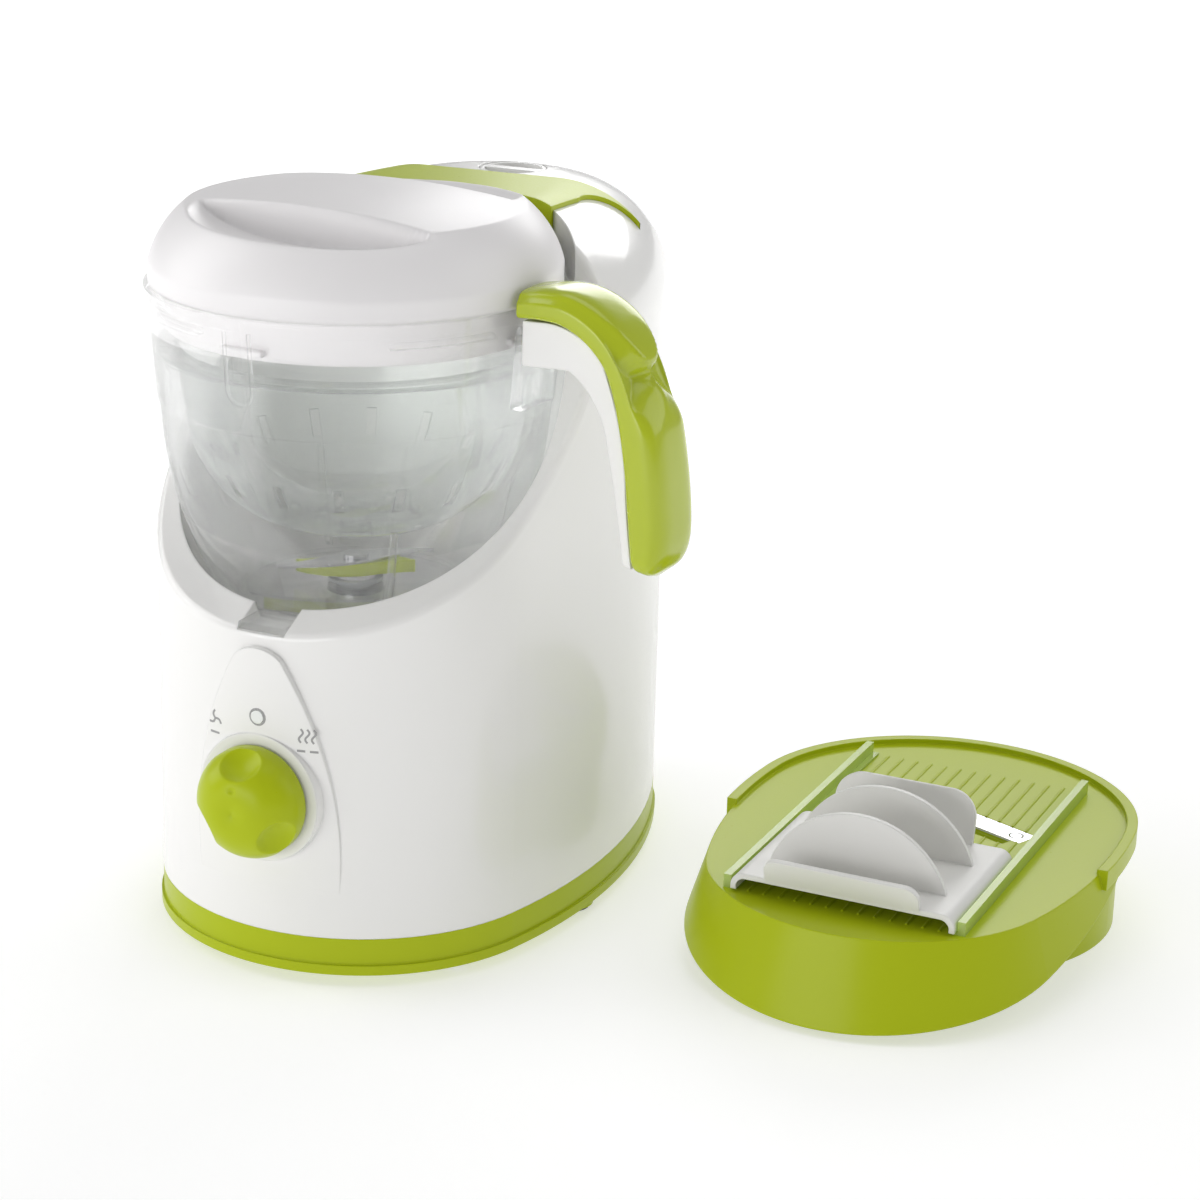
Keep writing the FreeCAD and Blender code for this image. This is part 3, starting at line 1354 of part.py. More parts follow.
def blade_screw_part(name, radius, height, side, low):
    x = f"blade_mid_x {side} (blade_len / 2 - 6) * cos(blade_turn)"
    y = f"blade_mid_y {side} (blade_len / 2 - 6) * sin(blade_turn)"
    return cylinder(name, radius, height, x, y, low)


def make_slicing_blade():
    """Flat steel blade set flush in the plate, and its two flush screws."""
    low = "slicer_h - steel_t"
    steel = blade_block("steel_strip", "blade_len", "steel_w", "steel_t", "0", low)
    holes = [
        blade_screw_part("strip_hole", "screw_r * 2", "steel_t + 2", side, f"{low} - 1") for side in "+-"
    ]
    keep(
        "slicing_blade", place(cut("strip_cut", steel, fuse("strip_holes", holes)), "slicer_x", "slicer_y")
    )
    screws = []
    for side in "+-":
        head = blade_screw_part("strip_head", "screw_r * 1.7", "steel_t", side, low)
        shank = blade_screw_part("strip_shank", "screw_r", "plate_t - steel_t", side, "slicer_h - plate_t")
        screws.append(fuse("strip_screw", [head, shank]))
    keep("blade_screws", place(group("strip_screws", screws), "slicer_x", "slicer_y"))


def make_slicer_rails():
    """Two rails with an inner foot on which the pusher slides."""
    rails = []
    for side in ("1", "-1"):
        inner, outer = f"{side} * (rail_half - rail_w / 2)", f"{side} * (rail_half + rail_w / 2)"
        foot = f"{side} * (rail_half - rail_w / 2 - rail_foot)"
        top, step = "slicer_h + rail_h", "slicer_h + 1"
        corners = [
            (foot, "slicer_h"), (outer, "slicer_h"), (outer, top), (inner, top), (inner, step), (foot, step)
        ]
        rails.append(prism("rail", "XZ_Plane", corners, "-(rail_back_y)", "rail_back_y - (rail_front_y)"))
    keep("slicer_rails", place(group("rails", rails), "slicer_x", "slicer_y"))


def upright(name, half, tall, y, lean="0", corner=None):
    """A thin panel across the pusher, half-round or with round top corners, leaning about its foot."""
    low, middle = "-1", "0"
    if corner is None:
        corners = [(f"-{half}", low), (half, low), (half, middle), (f"-{half}", middle)]
        vias = {2: ("0", tall)}
    else:
        turn = f"{corner} * 0.293"
        cheek = f"{tall} - {corner}"
        corners = [
            (f"-{half}", low),
            (half, low),
            (half, cheek),
            (f"{half} - {corner}", tall),
            (f"-{half} + {corner}", tall),
            (f"-{half}", cheek),
        ]
        vias = {2: (f"{half} - {turn}", f"{tall} - {turn}"), 4: (f"-{half} + {turn}", f"{tall} - {turn}")}
    panel = prism(name, "XZ_Plane", corners, "0", "pusher_t", vias, both=True)
    place(panel, "0", y, "slicer_h + pusher_h - pusher_t / 2")
    panel.Placement.Rotation = FreeCAD.Rotation(FreeCAD.Vector(1, 0, 0), 1)
    bind(panel, "Placement.Rotation.Angle", lean)
    return panel


def make_pusher():
    """Off-white pusher: an arched plate on two runners, with a lip, two round fins and a rear panel."""
    wide = "(rail_half - rail_w / 2 - pusher_gap)"
    flat, inside = f"({wide} - pusher_round)", f"({wide} - pusher_t)"
    foot, top, under = "slicer_h + 1", "(slicer_h + pusher_h)", "(slicer_h + pusher_h - pusher_t)"
    bend, cheek = f"({wide} - pusher_round * 0.3)", f"{under} - pusher_round / 2"
    corners = [
        (wide, foot), (wide, cheek), (flat, top), (f"-{flat}", top), (
            f"-{wide}", cheek
        ), (f"-{wide}", foot),
        (f"-{inside}", foot), (
            f"-{inside}", cheek
        ), (f"-{flat}", under), (flat, under), (inside, cheek), (inside, foot),
    ]
    inner_bend = f"({bend} - pusher_t * 0.75)"
    vias = {
        1: (bend, f"{top} - pusher_t * 0.6"),
        3: (f"-{bend}", f"{top} - pusher_t * 0.6"),
        7: (f"-{inner_bend}", f"{under} - pusher_t * 0.4"),
        9: (inner_bend, f"{under} - pusher_t * 0.4"),
    }
    arch = prism("pusher_arch", "XZ_Plane", corners, "-(pusher_front_y + pusher_len)", "pusher_len", vias)
    parts = [
        arch,
        upright(
            "pusher_lip",
            "lip_half",
            "lip_tall",
            "pusher_front_y + pusher_t / 2",
            "lip_lean",
            "lip_tall / 2",
        ),
        upright("front_fin", "fin_half", "fin_h", "pusher_front_y + fin_front"),
        upright("back_fin", "fin_half", "fin_h", "pusher_front_y + fin_back"),
        upright(
            "rear_panel",
            "panel_half",
            "panel_tall",
            "pusher_front_y + pusher_len - pusher_t",
            "panel_lean",
            "panel_tall / 2",
        ),
    ]
    keep("pusher", place(fuse("pusher_whole", parts), "slicer_x", "slicer_y"))


def check():
    """Stops with the names of every object that failed to build."""
    DOC.recompute()
    failed = [thing.Name for thing in DOC.Objects if {"Invalid", "Error"} & set(thing.State)]
    failed += [n for n, thing in NODES.items() if thing.Shape.isNull() or not thing.Shape.isValid()]
    if failed:
        raise RuntimeError("failed: " + ", ".join(failed))


def write():
    os.makedirs("parts", exist_ok=True)
    for name, thing in NODES.items():
        thing.Shape.exportStep(f"parts/{name}.step")


def main():
    fill_sheet()
    make_base_tray()
    make_rubber_feet()
    make_housing_screws()
    outer = make_main_housing()
    make_top_cover(outer)
    make_controls()
    make_boiler()
    make_boiler_cap()
    make_motor()
    make_fittings()
    make_jug()
    make_handle()
    make_blade_unit()
    make_basket()
    make_lid()
    make_slicer_body()
    make_slicing_blade()
    make_slicer_rails()
    make_pusher()
    check()
    write()


main()
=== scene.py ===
"""Dresses the frame of a baby food maker: finishes for every part, and finer surfaces on moulded pieces."""

import math

import bpy
import numpy as np
from bpy.props import FloatProperty, FloatVectorProperty, PointerProperty
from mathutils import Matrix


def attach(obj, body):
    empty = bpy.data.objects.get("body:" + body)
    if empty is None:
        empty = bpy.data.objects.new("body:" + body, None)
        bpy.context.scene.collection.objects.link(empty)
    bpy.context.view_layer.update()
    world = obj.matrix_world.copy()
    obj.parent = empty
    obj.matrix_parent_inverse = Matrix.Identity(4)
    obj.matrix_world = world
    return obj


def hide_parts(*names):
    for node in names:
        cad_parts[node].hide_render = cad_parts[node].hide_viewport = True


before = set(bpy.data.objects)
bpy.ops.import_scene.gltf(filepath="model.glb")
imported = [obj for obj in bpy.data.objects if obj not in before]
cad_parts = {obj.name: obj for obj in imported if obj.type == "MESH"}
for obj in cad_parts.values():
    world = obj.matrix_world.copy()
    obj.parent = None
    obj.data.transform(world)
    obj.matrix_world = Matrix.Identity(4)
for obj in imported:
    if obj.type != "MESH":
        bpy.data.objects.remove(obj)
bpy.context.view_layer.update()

bl_info = {
    "name": "Baby food maker",
    "version": (1, 0, 0),
    "blender": (4, 5, 0),
    "location": "3D View > Sidebar > Food maker",
    "description": "Finishes and fine moulded pieces for a steam cooker and blender with its slicer top",
    "category": "Object",
}

MM = 0.001
TURN = 2 * math.pi
HANDLE_TURN = math.radians(-7)  # the handle's bearing about the jug's axis, which the jug's own features follow
KNOB_Y, KNOB_Z = -79 * MM, 76 * MM  # where the knob's back meets the control field
FIELD_RADIUS, FIELD_Y, FIELD_Z = 82.0, 6.0, 38.0  # the control field's drum, in millimetres
FIELD_TIP = math.radians(1.6)  # how far that drum leans forward


# Properties


def size(name, text, default):
    """A length in metres, given in millimetres."""
    return FloatProperty(name=name, description=text, default=default * MM, unit="LENGTH", precision=4)


def angle(name, text, default):
    """An angle in radians, given in degrees."""
    return FloatProperty(name=name, description=text, default=math.radians(default), unit="ROTATION")


def power(name, text, default):
    """The power of a light in watts."""
    return FloatProperty(name=name, description=text, default=default, unit="POWER")


def colour(name, text, default):
    """A colour in linear red, green and blue."""
    return FloatVectorProperty(
        name=name, description=text, default=default, size=3, min=0.0, max=1.0, subtype="COLOR"
    )


class FoodMakerColours(bpy.types.PropertyGroup):
    """Colours of the finishes and the floor"""

    white: colour("White", "Glossy white of the housing", (0.83, 0.825, 0.81))
    satin: colour("Satin white", "White of the lid", (0.79, 0.775, 0.78))
    lime: colour("Lime", "Opaque green of base, knob, handle and slicer", (0.41, 0.49, 0.006))
    lime_clear: colour("Clear lime", "See-through green of the slicer's rails", (0.66, 0.80, 0.22))
    clear: colour("Clear", "Tint of the jug", (0.992, 0.996, 0.994))
    basket: colour("Basket", "Tint of the steam basket", (0.972, 0.98, 0.976))
    pusher: colour("Pusher", "Warm grey white of the slicer's pusher", (0.78, 0.775, 0.75))
    mark: colour("Marks", "Grey of the printed marks", (0.33, 0.33, 0.33))
    floor: colour("Floor", "Pale table under the object", (0.60, 0.60, 0.60))


class FoodMakerLid(bpy.types.PropertyGroup):
    """Sizes of the lid and its finger hollows"""

    radius: size("Radius", "Outer radius of the lid", 80.3)
    low: size("Foot", "Height of the lid's lower edge", 264.4)
    top: size("Top", "Height of the lid's crown", 298.6)
    ridge_half: size("Ridge half", "Half width of the grip ridge at its crown", 33.0)
    ridge_turn: angle("Ridge turn", "Turn of the grip ridge about the jug's axis", -6.0)
    scoop_long: size("Scoop length", "Half length of a finger hollow", 56.0)
    scoop_wide: size("Scoop width", "Half width of a finger hollow", 40.0)
    scoop_deep: size("Scoop depth", "Depth of a finger hollow", 14.5)
    scoop_shift: size("Scoop shift", "How far a hollow sits along the ridge", 6.0)


class FoodMakerKnob(bpy.types.PropertyGroup):
    """Sizes of the selector knob"""

    radius: size("Radius", "Outer radius of the knob", 22.0)
    depth: size("Depth", "How far the knob's dome stands out", 19.0)
    scoop_radius: size("Scoop radius", "Ball radius of each scoop", 16.0)
    scoop_bite: size("Scoop bite", "How far each scoop reaches in from the edge", 9.0)


class FoodMakerHandle(bpy.types.PropertyGroup):
    """Sizes of the handle's green grip"""

    width: size("Width", "Width of the grip", 29.0)
    turn: angle("Turn", "Direction of the handle about the jug's axis", -7.0)
    tongue: size("Tongue", "Half width of the raised tongue at its root", 12.0)
    dip: size("Thumb dip", "Depth of the thumb dip after the tongue", 2.4)


class FoodMakerJug(bpy.types.PropertyGroup):
    """Sizes of the clear jug"""

    rim_radius: size("Rim radius", "Outer radius of the jug's rim", 82.2)
    belly_radius: size("Belly radius", "Outer radius where the bowl meets the neck", 76.6)
    wall: size("Wall", "Wall of the bowl", 2.6)


class FoodMakerMarks(bpy.types.PropertyGroup):
    """Sizes of the printed marks"""

    line: size("Line", "Width of a printed line", 0.9)
    proud: size("Thickness", "How far the print stands off the wall", 0.12)


class FoodMakerStage(bpy.types.PropertyGroup):
    """The camera and the lights"""

    lens: FloatProperty(
        name="Lens", description="Focal length on a 36 mm frame", default=91.9, subtype="DISTANCE_CAMERA"
    )
    place: FloatVectorProperty(
        name="Place",
        description="Where the camera stands",
        default=(0.5577, -1.0185, 0.521),
        subtype="TRANSLATION",
    )
    azimuth: angle("Azimuth", "How far the camera stands round to the right", 28.7)
    pitch: angle("Pitch", "How far the camera looks down", 18.472)
    shift: FloatProperty(name="Shift", description="Sideways lens shift in frame widths", default=0.2034)
    key: power("Key light", "Power of the light at the left", 8.5)
    back: power("Back light", "Power of the light behind", 6.0)
    front: power("Front light", "Power of the low light in front", 8.0)
    top: power("Top light", "Power of the light overhead", 4.5)
    surround: FloatProperty(name="Surround", description="Strength of the white surroundings", default=0.34)


# Meshes worked out with numpy


def skin(name, rings, body, slot, looped=False, replaces=(), sharp=40.0, finish=None):
    """Quads between neighbouring rings of a grid (stations, points round, 3), with a fan at each open end.

    The signed volume, the sum of p0 . (p1 x p2) over the triangles, says if the faces have to be turned round.
    """
    rings = np.asarray(rings, dtype=float)
    count, around = rings.shape[:2]
    index = np.arange(count * around).reshape(count, around)
    ahead = np.roll(index, -1, axis=1)
    stop = count if looped else count - 1
    here, there = index[:stop], np.roll(index, -1, axis=0)[:stop]
    here_ahead, there_ahead = ahead[:stop], np.roll(ahead, -1, axis=0)[:stop]
    quads = np.stack([here, here_ahead, there_ahead, there], axis=-1).reshape(-1, 4)
    points = rings.reshape(-1, 3)
    fans = np.zeros((0, 3), dtype=int)
    if not looped:
        points = np.vstack([points, rings[0].mean(axis=0), rings[-1].mean(axis=0)])
        head = np.full(around, count * around)
        fans = np.vstack(
            [np.stack([head, ahead[0], index[0]], axis=1), np.stack([head + 1, index[-1], ahead[-1]], axis=1)]
        )
    corners = np.vstack([quads[:, [0, 1, 2]], quads[:, [0, 2, 3]], fans])
    volume = np.sum(points[corners[:, 0]] * np.cross(points[corners[:, 1]], points[corners[:, 2]]))
    if volume < 0:
        quads, fans = quads[:, ::-1], fans[:, ::-1]
    loops = np.concatenate([quads.ravel(), fans.ravel()])
    starts = np.concatenate([np.arange(len(quads)) * 4, len(quads) * 4 + np.arange(len(fans)) * 3])
    mesh = bpy.data.meshes.new(name)
    mesh.vertices.add(len(points))
    mesh.vertices.foreach_set("co", points.ravel())
    mesh.loops.add(len(loops))
    mesh.loops.foreach_set("vertex_index", loops)
    mesh.polygons.add(len(starts))
    mesh.polygons.foreach_set("loop_start", starts)
    mesh.update(calc_edges=True)
    mesh.validate()
    mesh.polygons.foreach_set("use_smooth", np.ones(len(mesh.polygons), dtype=bool))
    mesh.set_sharp_from_angle(angle=math.radians(sharp))
    mesh.materials.append(bpy.data.materials[finish or slot])
    piece = bpy.data.objects.new(name, mesh)
    bpy.context.scene.collection.objects.link(piece)
    if body:
        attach(piece, body)
    if replaces:
        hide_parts(*replaces)
    return piece


def arc(start, via, end, count):
    """Points of the circle through three points of a plane, from first to last by way of the second."""
    (ax, ay), (bx, by), (cx, cy) = start, via, end
    d = 2 * (ax * (by - cy) + bx * (cy - ay) + cx * (ay - by))
    ux = ((ax**2 + ay**2) * (by - cy) + (bx**2 + by**2) * (cy - ay) + (cx**2 + cy**2) * (ay - by)) / d
    uy = ((ax**2 + ay**2) * (cx - bx) + (bx**2 + by**2) * (ax - cx) + (cx**2 + cy**2) * (bx - ax)) / d
    first, middle, last = (math.atan2(y - uy, x - ux) for x, y in (start, via, end))
    sweep, half = (last - first) % TURN, (middle - first) % TURN
    if half > sweep:
        sweep -= TURN
    bearing = first + np.linspace(0, 1, count) * sweep
    radius = math.hypot(ax - ux, ay - uy)
    return np.stack([ux + radius * np.cos(bearing), uy + radius * np.sin(bearing)], axis=1)


def softened(corners, radius, steps=4):
    """A closed outline whose corners P are quadratic curves: (1-t)^2 A + 2t(1-t) P + t^2 B, A and B near P."""
    corners = np.asarray(corners, dtype=float)
    before, after = np.roll(corners, 1, axis=0) - corners, np.roll(corners, -1, axis=0) - corners

    def reach(leg):
        long = np.linalg.norm(leg, axis=1, keepdims=True)
        return leg / long * np.minimum(radius, long * 0.45)

    a, b = corners + reach(before), corners + reach(after)
    t = np.linspace(0, 1, steps)[None, :, None]
    curve = (1 - t) ** 2 * a[:, None] + 2 * t * (1 - t) * corners[:, None] + t**2 * b[:, None]
    return curve.reshape(-1, 2)


def smooth_line(points, count):
    """A Catmull-Rom curve through points: cubic spans whose slopes are half the step between neighbours."""
    points = np.asarray(points, dtype=float)
    padded = np.vstack([2 * points[0] - points[1], points, 2 * points[-1] - points[-2]])
    place = np.linspace(0, len(points) - 1, count)
    span = np.minimum(place.astype(int), len(points) - 2)
    t = (place - span)[:, None]
    p0, p1, p2, p3 = (padded[span + k] for k in range(4))
    bend, twist = 2 * p0 - 5 * p1 + 4 * p2 - p3, 3 * (p1 - p2) + p3 - p0
    return 0.5 * (2 * p1 + (p2 - p0) * t + bend * t**2 + twist * t**3)


def turned(profile, count):
    """A closed outline (radius, height) carried round the Z axis."""
    bearing = np.arange(count) * TURN / count
    radius, height = profile[:, 0], profile[:, 1]
    x, y = np.cos(bearing)[:, None] * radius, np.sin(bearing)[:, None] * radius
    return np.stack([x, y, np.broadcast_to(height, x.shape)], axis=-1)


def part_turned(profile, start, sweep, count):
    """A closed outline (radius, height) carried round the Z axis through a part of a turn."""
    bearing = start + np.linspace(0, 1, count) * sweep
    radius, height = profile[:, 0], profile[:, 1]
    x, y = np.cos(bearing)[:, None] * radius, np.sin(bearing)[:, None] * radius
    return np.stack([x, y, np.broadcast_to(height, x.shape)], axis=-1)


def unit(rows):
    """Vectors at length 1."""
    return rows / np.linalg.norm(rows, axis=-1, keepdims=True)


def ribbon(path, normals, half, thick, corners=2):
    """A rounded bar along a path on a surface: its section spans the surface's normal and the path's side.

    Side = tangent x normal. A section point is path + side * half * cos(a) + normal * thick * sin(a).
    """
    path, normals = np.asarray(path, dtype=float), unit(np.asarray(normals, dtype=float))
    side = unit(np.cross(np.gradient(path, axis=0), normals))
    bearing = np.arange(8 * corners) * TURN / (8 * corners)
    across = np.sign(np.cos(bearing)) * np.abs(np.cos(bearing)) ** 0.4
    up = np.sign(np.sin(bearing)) * np.abs(np.sin(bearing)) ** 0.4
    return (
        path[:, None]
        + side[:, None] * half * across[None, :, None]
        + normals[:, None] * thick * up[None, :, None]
    )


def low_blend(a, b, width):
    """The lower of two heights with the crease between them rounded: a cubic fillet of the given width."""
    near = np.maximum(width - np.abs(a - b), 0) / width
    return np.minimum(a, b) - near**3 * width / 6


def step(low, high, value):
    """A smooth step from 0 to 1 between two values: 3t^2 - 2t^3."""
    t = np.clip((value - low) / (high - low), 0, 1)
    return t * t * (3 - 2 * t)


# Shader groups


def add(tree, kind, at, **values):
    """A new node at a place in its tree, with its own settings."""
    node = tree.nodes.new(kind)
    node.location = at
    for key, value in values.items():
        setattr(node, key, value)
    return node


def new_group(name, inputs, outputs):
    """An empty shader group with named sockets: (kind, default) for each input, the kind for each output."""
    tree = bpy.data.node_groups.new(name, "ShaderNodeTree")
    for label, (kind, default) in inputs.items():
        socket = tree.interface.new_socket(label, in_out="INPUT", socket_type=f"NodeSocket{kind}")
        socket.default_value = default
    for label, kind in outputs.items():
        tree.interface.new_socket(label, in_out="OUTPUT", socket_type=f"NodeSocket{kind}")
    return tree, add(tree, "NodeGroupInput", (-900, 0)), add(tree, "NodeGroupOutput", (600, 0))


def moulded_grain():
    """Moulded plastic: slow drift of the colour, fine grain for bump and roughness, sparse dull flecks."""
    tree, given, out = new_group(
        "moulded_grain",
        {
            "Colour": ("Color", (0.8, 0.8, 0.8, 1)),
            "Shade": ("Color", (0.7, 0.7, 0.7, 1)),
            "Drift": ("Float", 0.3),
            "Roughness": ("Float", 0.3),
            "Grain": ("Float", 900.0),
            "Flecks": ("Float", 0.1),
        },
        {"Colour": "Color", "Roughness": "Float", "Height": "Float"},
    )
    link = tree.links.new
    where = add(tree, "ShaderNodeTexCoord", (-900, -300))
    slow = add(tree, "ShaderNodeTexNoise", (-650, 200))
    slow.inputs["Scale"].default_value = 9.0
    slow.inputs["Detail"].default_value = 3.0
    fine = add(tree, "ShaderNodeTexNoise", (-650, -100))
    fine.inputs["Detail"].default_value = 2.0
    sparse = add(tree, "ShaderNodeTexNoise", (-650, -400))
    sparse.inputs["Scale"].default_value = 140.0
    sparse.inputs["Detail"].default_value = 4.0
    for noise in (slow, fine, sparse):
        link(where.outputs["Object"], noise.inputs["Vector"])
    link(given.outputs["Grain"], fine.inputs["Scale"])
    drift = add(tree, "ShaderNodeMath", (-400, 250), operation="MULTIPLY")
    link(slow.outputs["Fac"], drift.inputs[0])
    link(given.outputs["Drift"], drift.inputs[1])
    tint = add(tree, "ShaderNodeMix", (-150, 250), data_type="RGBA")
    link(drift.outputs[0], tint.inputs["Factor"])
    link(given.outputs["Colour"], tint.inputs[6])
    link(given.outputs["Shade"], tint.inputs[7])
    fleck = add(tree, "ShaderNodeMapRange", (-400, -400))
    fleck.inputs["From Min"].default_value = 0.62
    fleck.inputs["From Max"].default_value = 0.74
    link(sparse.outputs["Fac"], fleck.inputs["Value"])
    dull = add(tree, "ShaderNodeMath", (-150, -350), operation="MULTIPLY")
    link(fleck.outputs[0], dull.inputs[0])
    link(given.outputs["Flecks"], dull.inputs[1])
    spread = add(tree, "ShaderNodeMapRange", (-400, -100))
    spread.inputs["To Min"].default_value = -0.05
    spread.inputs["To Max"].default_value = 0.05
    link(fine.outputs["Fac"], spread.inputs["Value"])
    first = add(tree, "ShaderNodeMath", (-150, -100), operation="ADD")
    link(given.outputs["Roughness"], first.inputs[0])
    link(spread.outputs[0], first.inputs[1])
    second = add(tree, "ShaderNodeMath", (100, -150), operation="ADD", use_clamp=True)
    link(first.outputs[0], second.inputs[0])
    link(dull.outputs[0], second.inputs[1])
    link(tint.outputs[2], out.inputs["Colour"])
    link(second.outputs[0], out.inputs["Roughness"])
    link(fine.outputs["Fac"], out.inputs["Height"])


def rounded_edges():
    """Normals rounded over a radius, and a mask that rises where they leave the true surface, along edges,
    which the plastics use to paint a highlight.
    """
    tree, given, out = new_group(
        "rounded_edges", {"Radius": ("Float", 0.0008)}, {"Normal": "Vector", "Edge": "Float"}
    )
    link = tree.links.new
    bevel = add(tree, "ShaderNodeBevel", (-500, 100), samples=6)
    true = add(tree, "ShaderNodeNewGeometry", (-500, -150))
    agree = add(tree, "ShaderNodeVectorMath", (-250, 0), operation="DOT_PRODUCT")
    rise = add(tree, "ShaderNodeMapRange", (0, 0))
    rise.inputs["From Min"].default_value = 0.995
    rise.inputs["From Max"].default_value = 0.80
    link(given.outputs["Radius"], bevel.inputs["Radius"])
    link(bevel.outputs[0], agree.inputs[0])
    link(true.outputs["Normal"], agree.inputs[1])
    link(agree.outputs["Value"], rise.inputs["Value"])
    link(bevel.outputs[0], out.inputs["Normal"])
    link(rise.outputs[0], out.inputs["Edge"])


def brushed_lines():
    """Brushed metal: noise drawn out along one axis, for roughness and bump."""
    tree, given, out = new_group(
        "brushed_lines",
        {"Colour": ("Color", (0.6, 0.6, 0.6, 1)), "Roughness": ("Float", 0.25), "Stretch": ("Float", 60.0)},
        {"Colour": "Color", "Roughness": "Float", "Height": "Float"},
    )
    link = tree.links.new
    where = add(tree, "ShaderNodeTexCoord", (-900, -300))
    draw = add(tree, "ShaderNodeCombineXYZ", (-700, -100))
    draw.inputs[0].default_value = 30.0
    link(given.outputs["Stretch"], draw.inputs[1])
    link(given.outputs["Stretch"], draw.inputs[2])
    scaled = add(tree, "ShaderNodeVectorMath", (-500, -200), operation="MULTIPLY")
    link(where.outputs["Object"], scaled.inputs[0])
    link(draw.outputs[0], scaled.inputs[1])
    lines = add(tree, "ShaderNodeTexNoise", (-300, -100))
    lines.inputs["Scale"].default_value = 12.0
    lines.inputs["Detail"].default_value = 5.0
    link(scaled.outputs[0], lines.inputs["Vector"])
    spread = add(tree, "ShaderNodeMapRange", (-50, -100))
    spread.inputs["To Min"].default_value = -0.08
    spread.inputs["To Max"].default_value = 0.12
    link(lines.outputs["Fac"], spread.inputs["Value"])
    rough = add(tree, "ShaderNodeMath", (200, -100), operation="ADD", use_clamp=True)
    link(given.outputs["Roughness"], rough.inputs[0])
    link(spread.outputs[0], rough.inputs[1])
    shade = add(tree, "ShaderNodeHueSaturation", (200, 150))
    value = add(tree, "ShaderNodeMapRange", (-50, 150))
    value.inputs["To Min"].default_value = 0.85
    value.inputs["To Max"].default_value = 1.1
    link(lines.outputs["Fac"], value.inputs["Value"])
    link(value.outputs[0], shade.inputs["Value"])
    link(given.outputs["Colour"], shade.inputs["Color"])
    link(shade.outputs[0], out.inputs["Colour"])
    link(rough.outputs[0], out.inputs["Roughness"])
    link(lines.outputs["Fac"], out.inputs["Height"])


# Materials


def use(tree, group, at, **values):
    """A group placed in a material with its own values."""
    node = add(tree, "ShaderNodeGroup", at, node_tree=bpy.data.node_groups[group])
    for label, value in values.items():
        node.inputs[label].default_value = value
    return node


def new_finish(name):
    """An empty material under a finish's own name. The frame's plain one of that name steps aside."""
    plain = bpy.data.materials.get(name)
    if plain:
        plain.name = f"frame_{name}"
    finish = bpy.data.materials.new(name)
    finish.use_nodes = True
    tree = finish.node_tree
    return finish, tree, tree.nodes["Principled BSDF"], tree.nodes["Material Output"]


def rgba(rgb, gain=1.0):
    """A colour times a gain, at most 1, with full alpha."""
    return (*[min(c * gain, 1.0) for c in rgb], 1.0)


def plastic(
    name, rgb, roughness, grain=900.0, bump=0.05, edge=0.0008, pale=1.12, coat=0.0, drift=0.3, gloss=0.5
):
    """Moulded plastic: grain, a painted highlight that makes rounded edges paler, and an optional clear coat.
    """
    finish, tree, shader, _ = new_finish(name)
    link = tree.links.new
    surface = use(
        tree, "moulded_grain", (-700, 100), Colour=rgba(rgb), Shade=rgba(rgb, 0.93), Drift=drift,
        Roughness=roughness, Grain=grain, Flecks=0.0,
    )
    edges = use(tree, "rounded_edges", (-700, -200), Radius=edge)
    # Painted highlight: the colour is mixed towards a paler copy of itself where the edge mask rises.
    tint = add(tree, "ShaderNodeMix", (-350, 150), data_type="RGBA")
    tint.inputs[7].default_value = rgba(rgb, pale)
    link(edges.outputs["Edge"], tint.inputs["Factor"])
    link(surface.outputs["Colour"], tint.inputs[6])
    link(tint.outputs[2], shader.inputs["Base Color"])
    link(surface.outputs["Roughness"], shader.inputs["Roughness"])
    relief = add(tree, "ShaderNodeBump", (-350, -150))
    relief.inputs["Strength"].default_value = bump
    relief.inputs["Distance"].default_value = 0.0002
    link(surface.outputs["Height"], relief.inputs["Height"])
    link(edges.outputs["Normal"], relief.inputs["Normal"])
    link(relief.outputs[0], shader.inputs["Normal"])
    shader.inputs["Specular IOR Level"].default_value = gloss
    shader.inputs["Coat Weight"].default_value = coat
    shader.inputs["Coat Roughness"].default_value = 0.06
    return finish


def metal(name, rgb, roughness, stretch, bump=0.08):
    """Brushed or rolled metal."""
    finish, tree, shader, _ = new_finish(name)
    link = tree.links.new
    surface = use(tree, "brushed_lines", (-700, 100), Colour=rgba(rgb), Roughness=roughness, Stretch=stretch)
    edges = use(tree, "rounded_edges", (-700, -200), Radius=0.0004)
    link(surface.outputs["Colour"], shader.inputs["Base Color"])
    link(surface.outputs["Roughness"], shader.inputs["Roughness"])
    relief = add(tree, "ShaderNodeBump", (-350, -150))
    relief.inputs["Strength"].default_value = bump
    relief.inputs["Distance"].default_value = 0.0001
    link(surface.outputs["Height"], relief.inputs["Height"])
    link(edges.outputs["Normal"], relief.inputs["Normal"])
    link(relief.outputs[0], shader.inputs["Normal"])
    shader.inputs["Metallic"].default_value = 1.0
    return finish


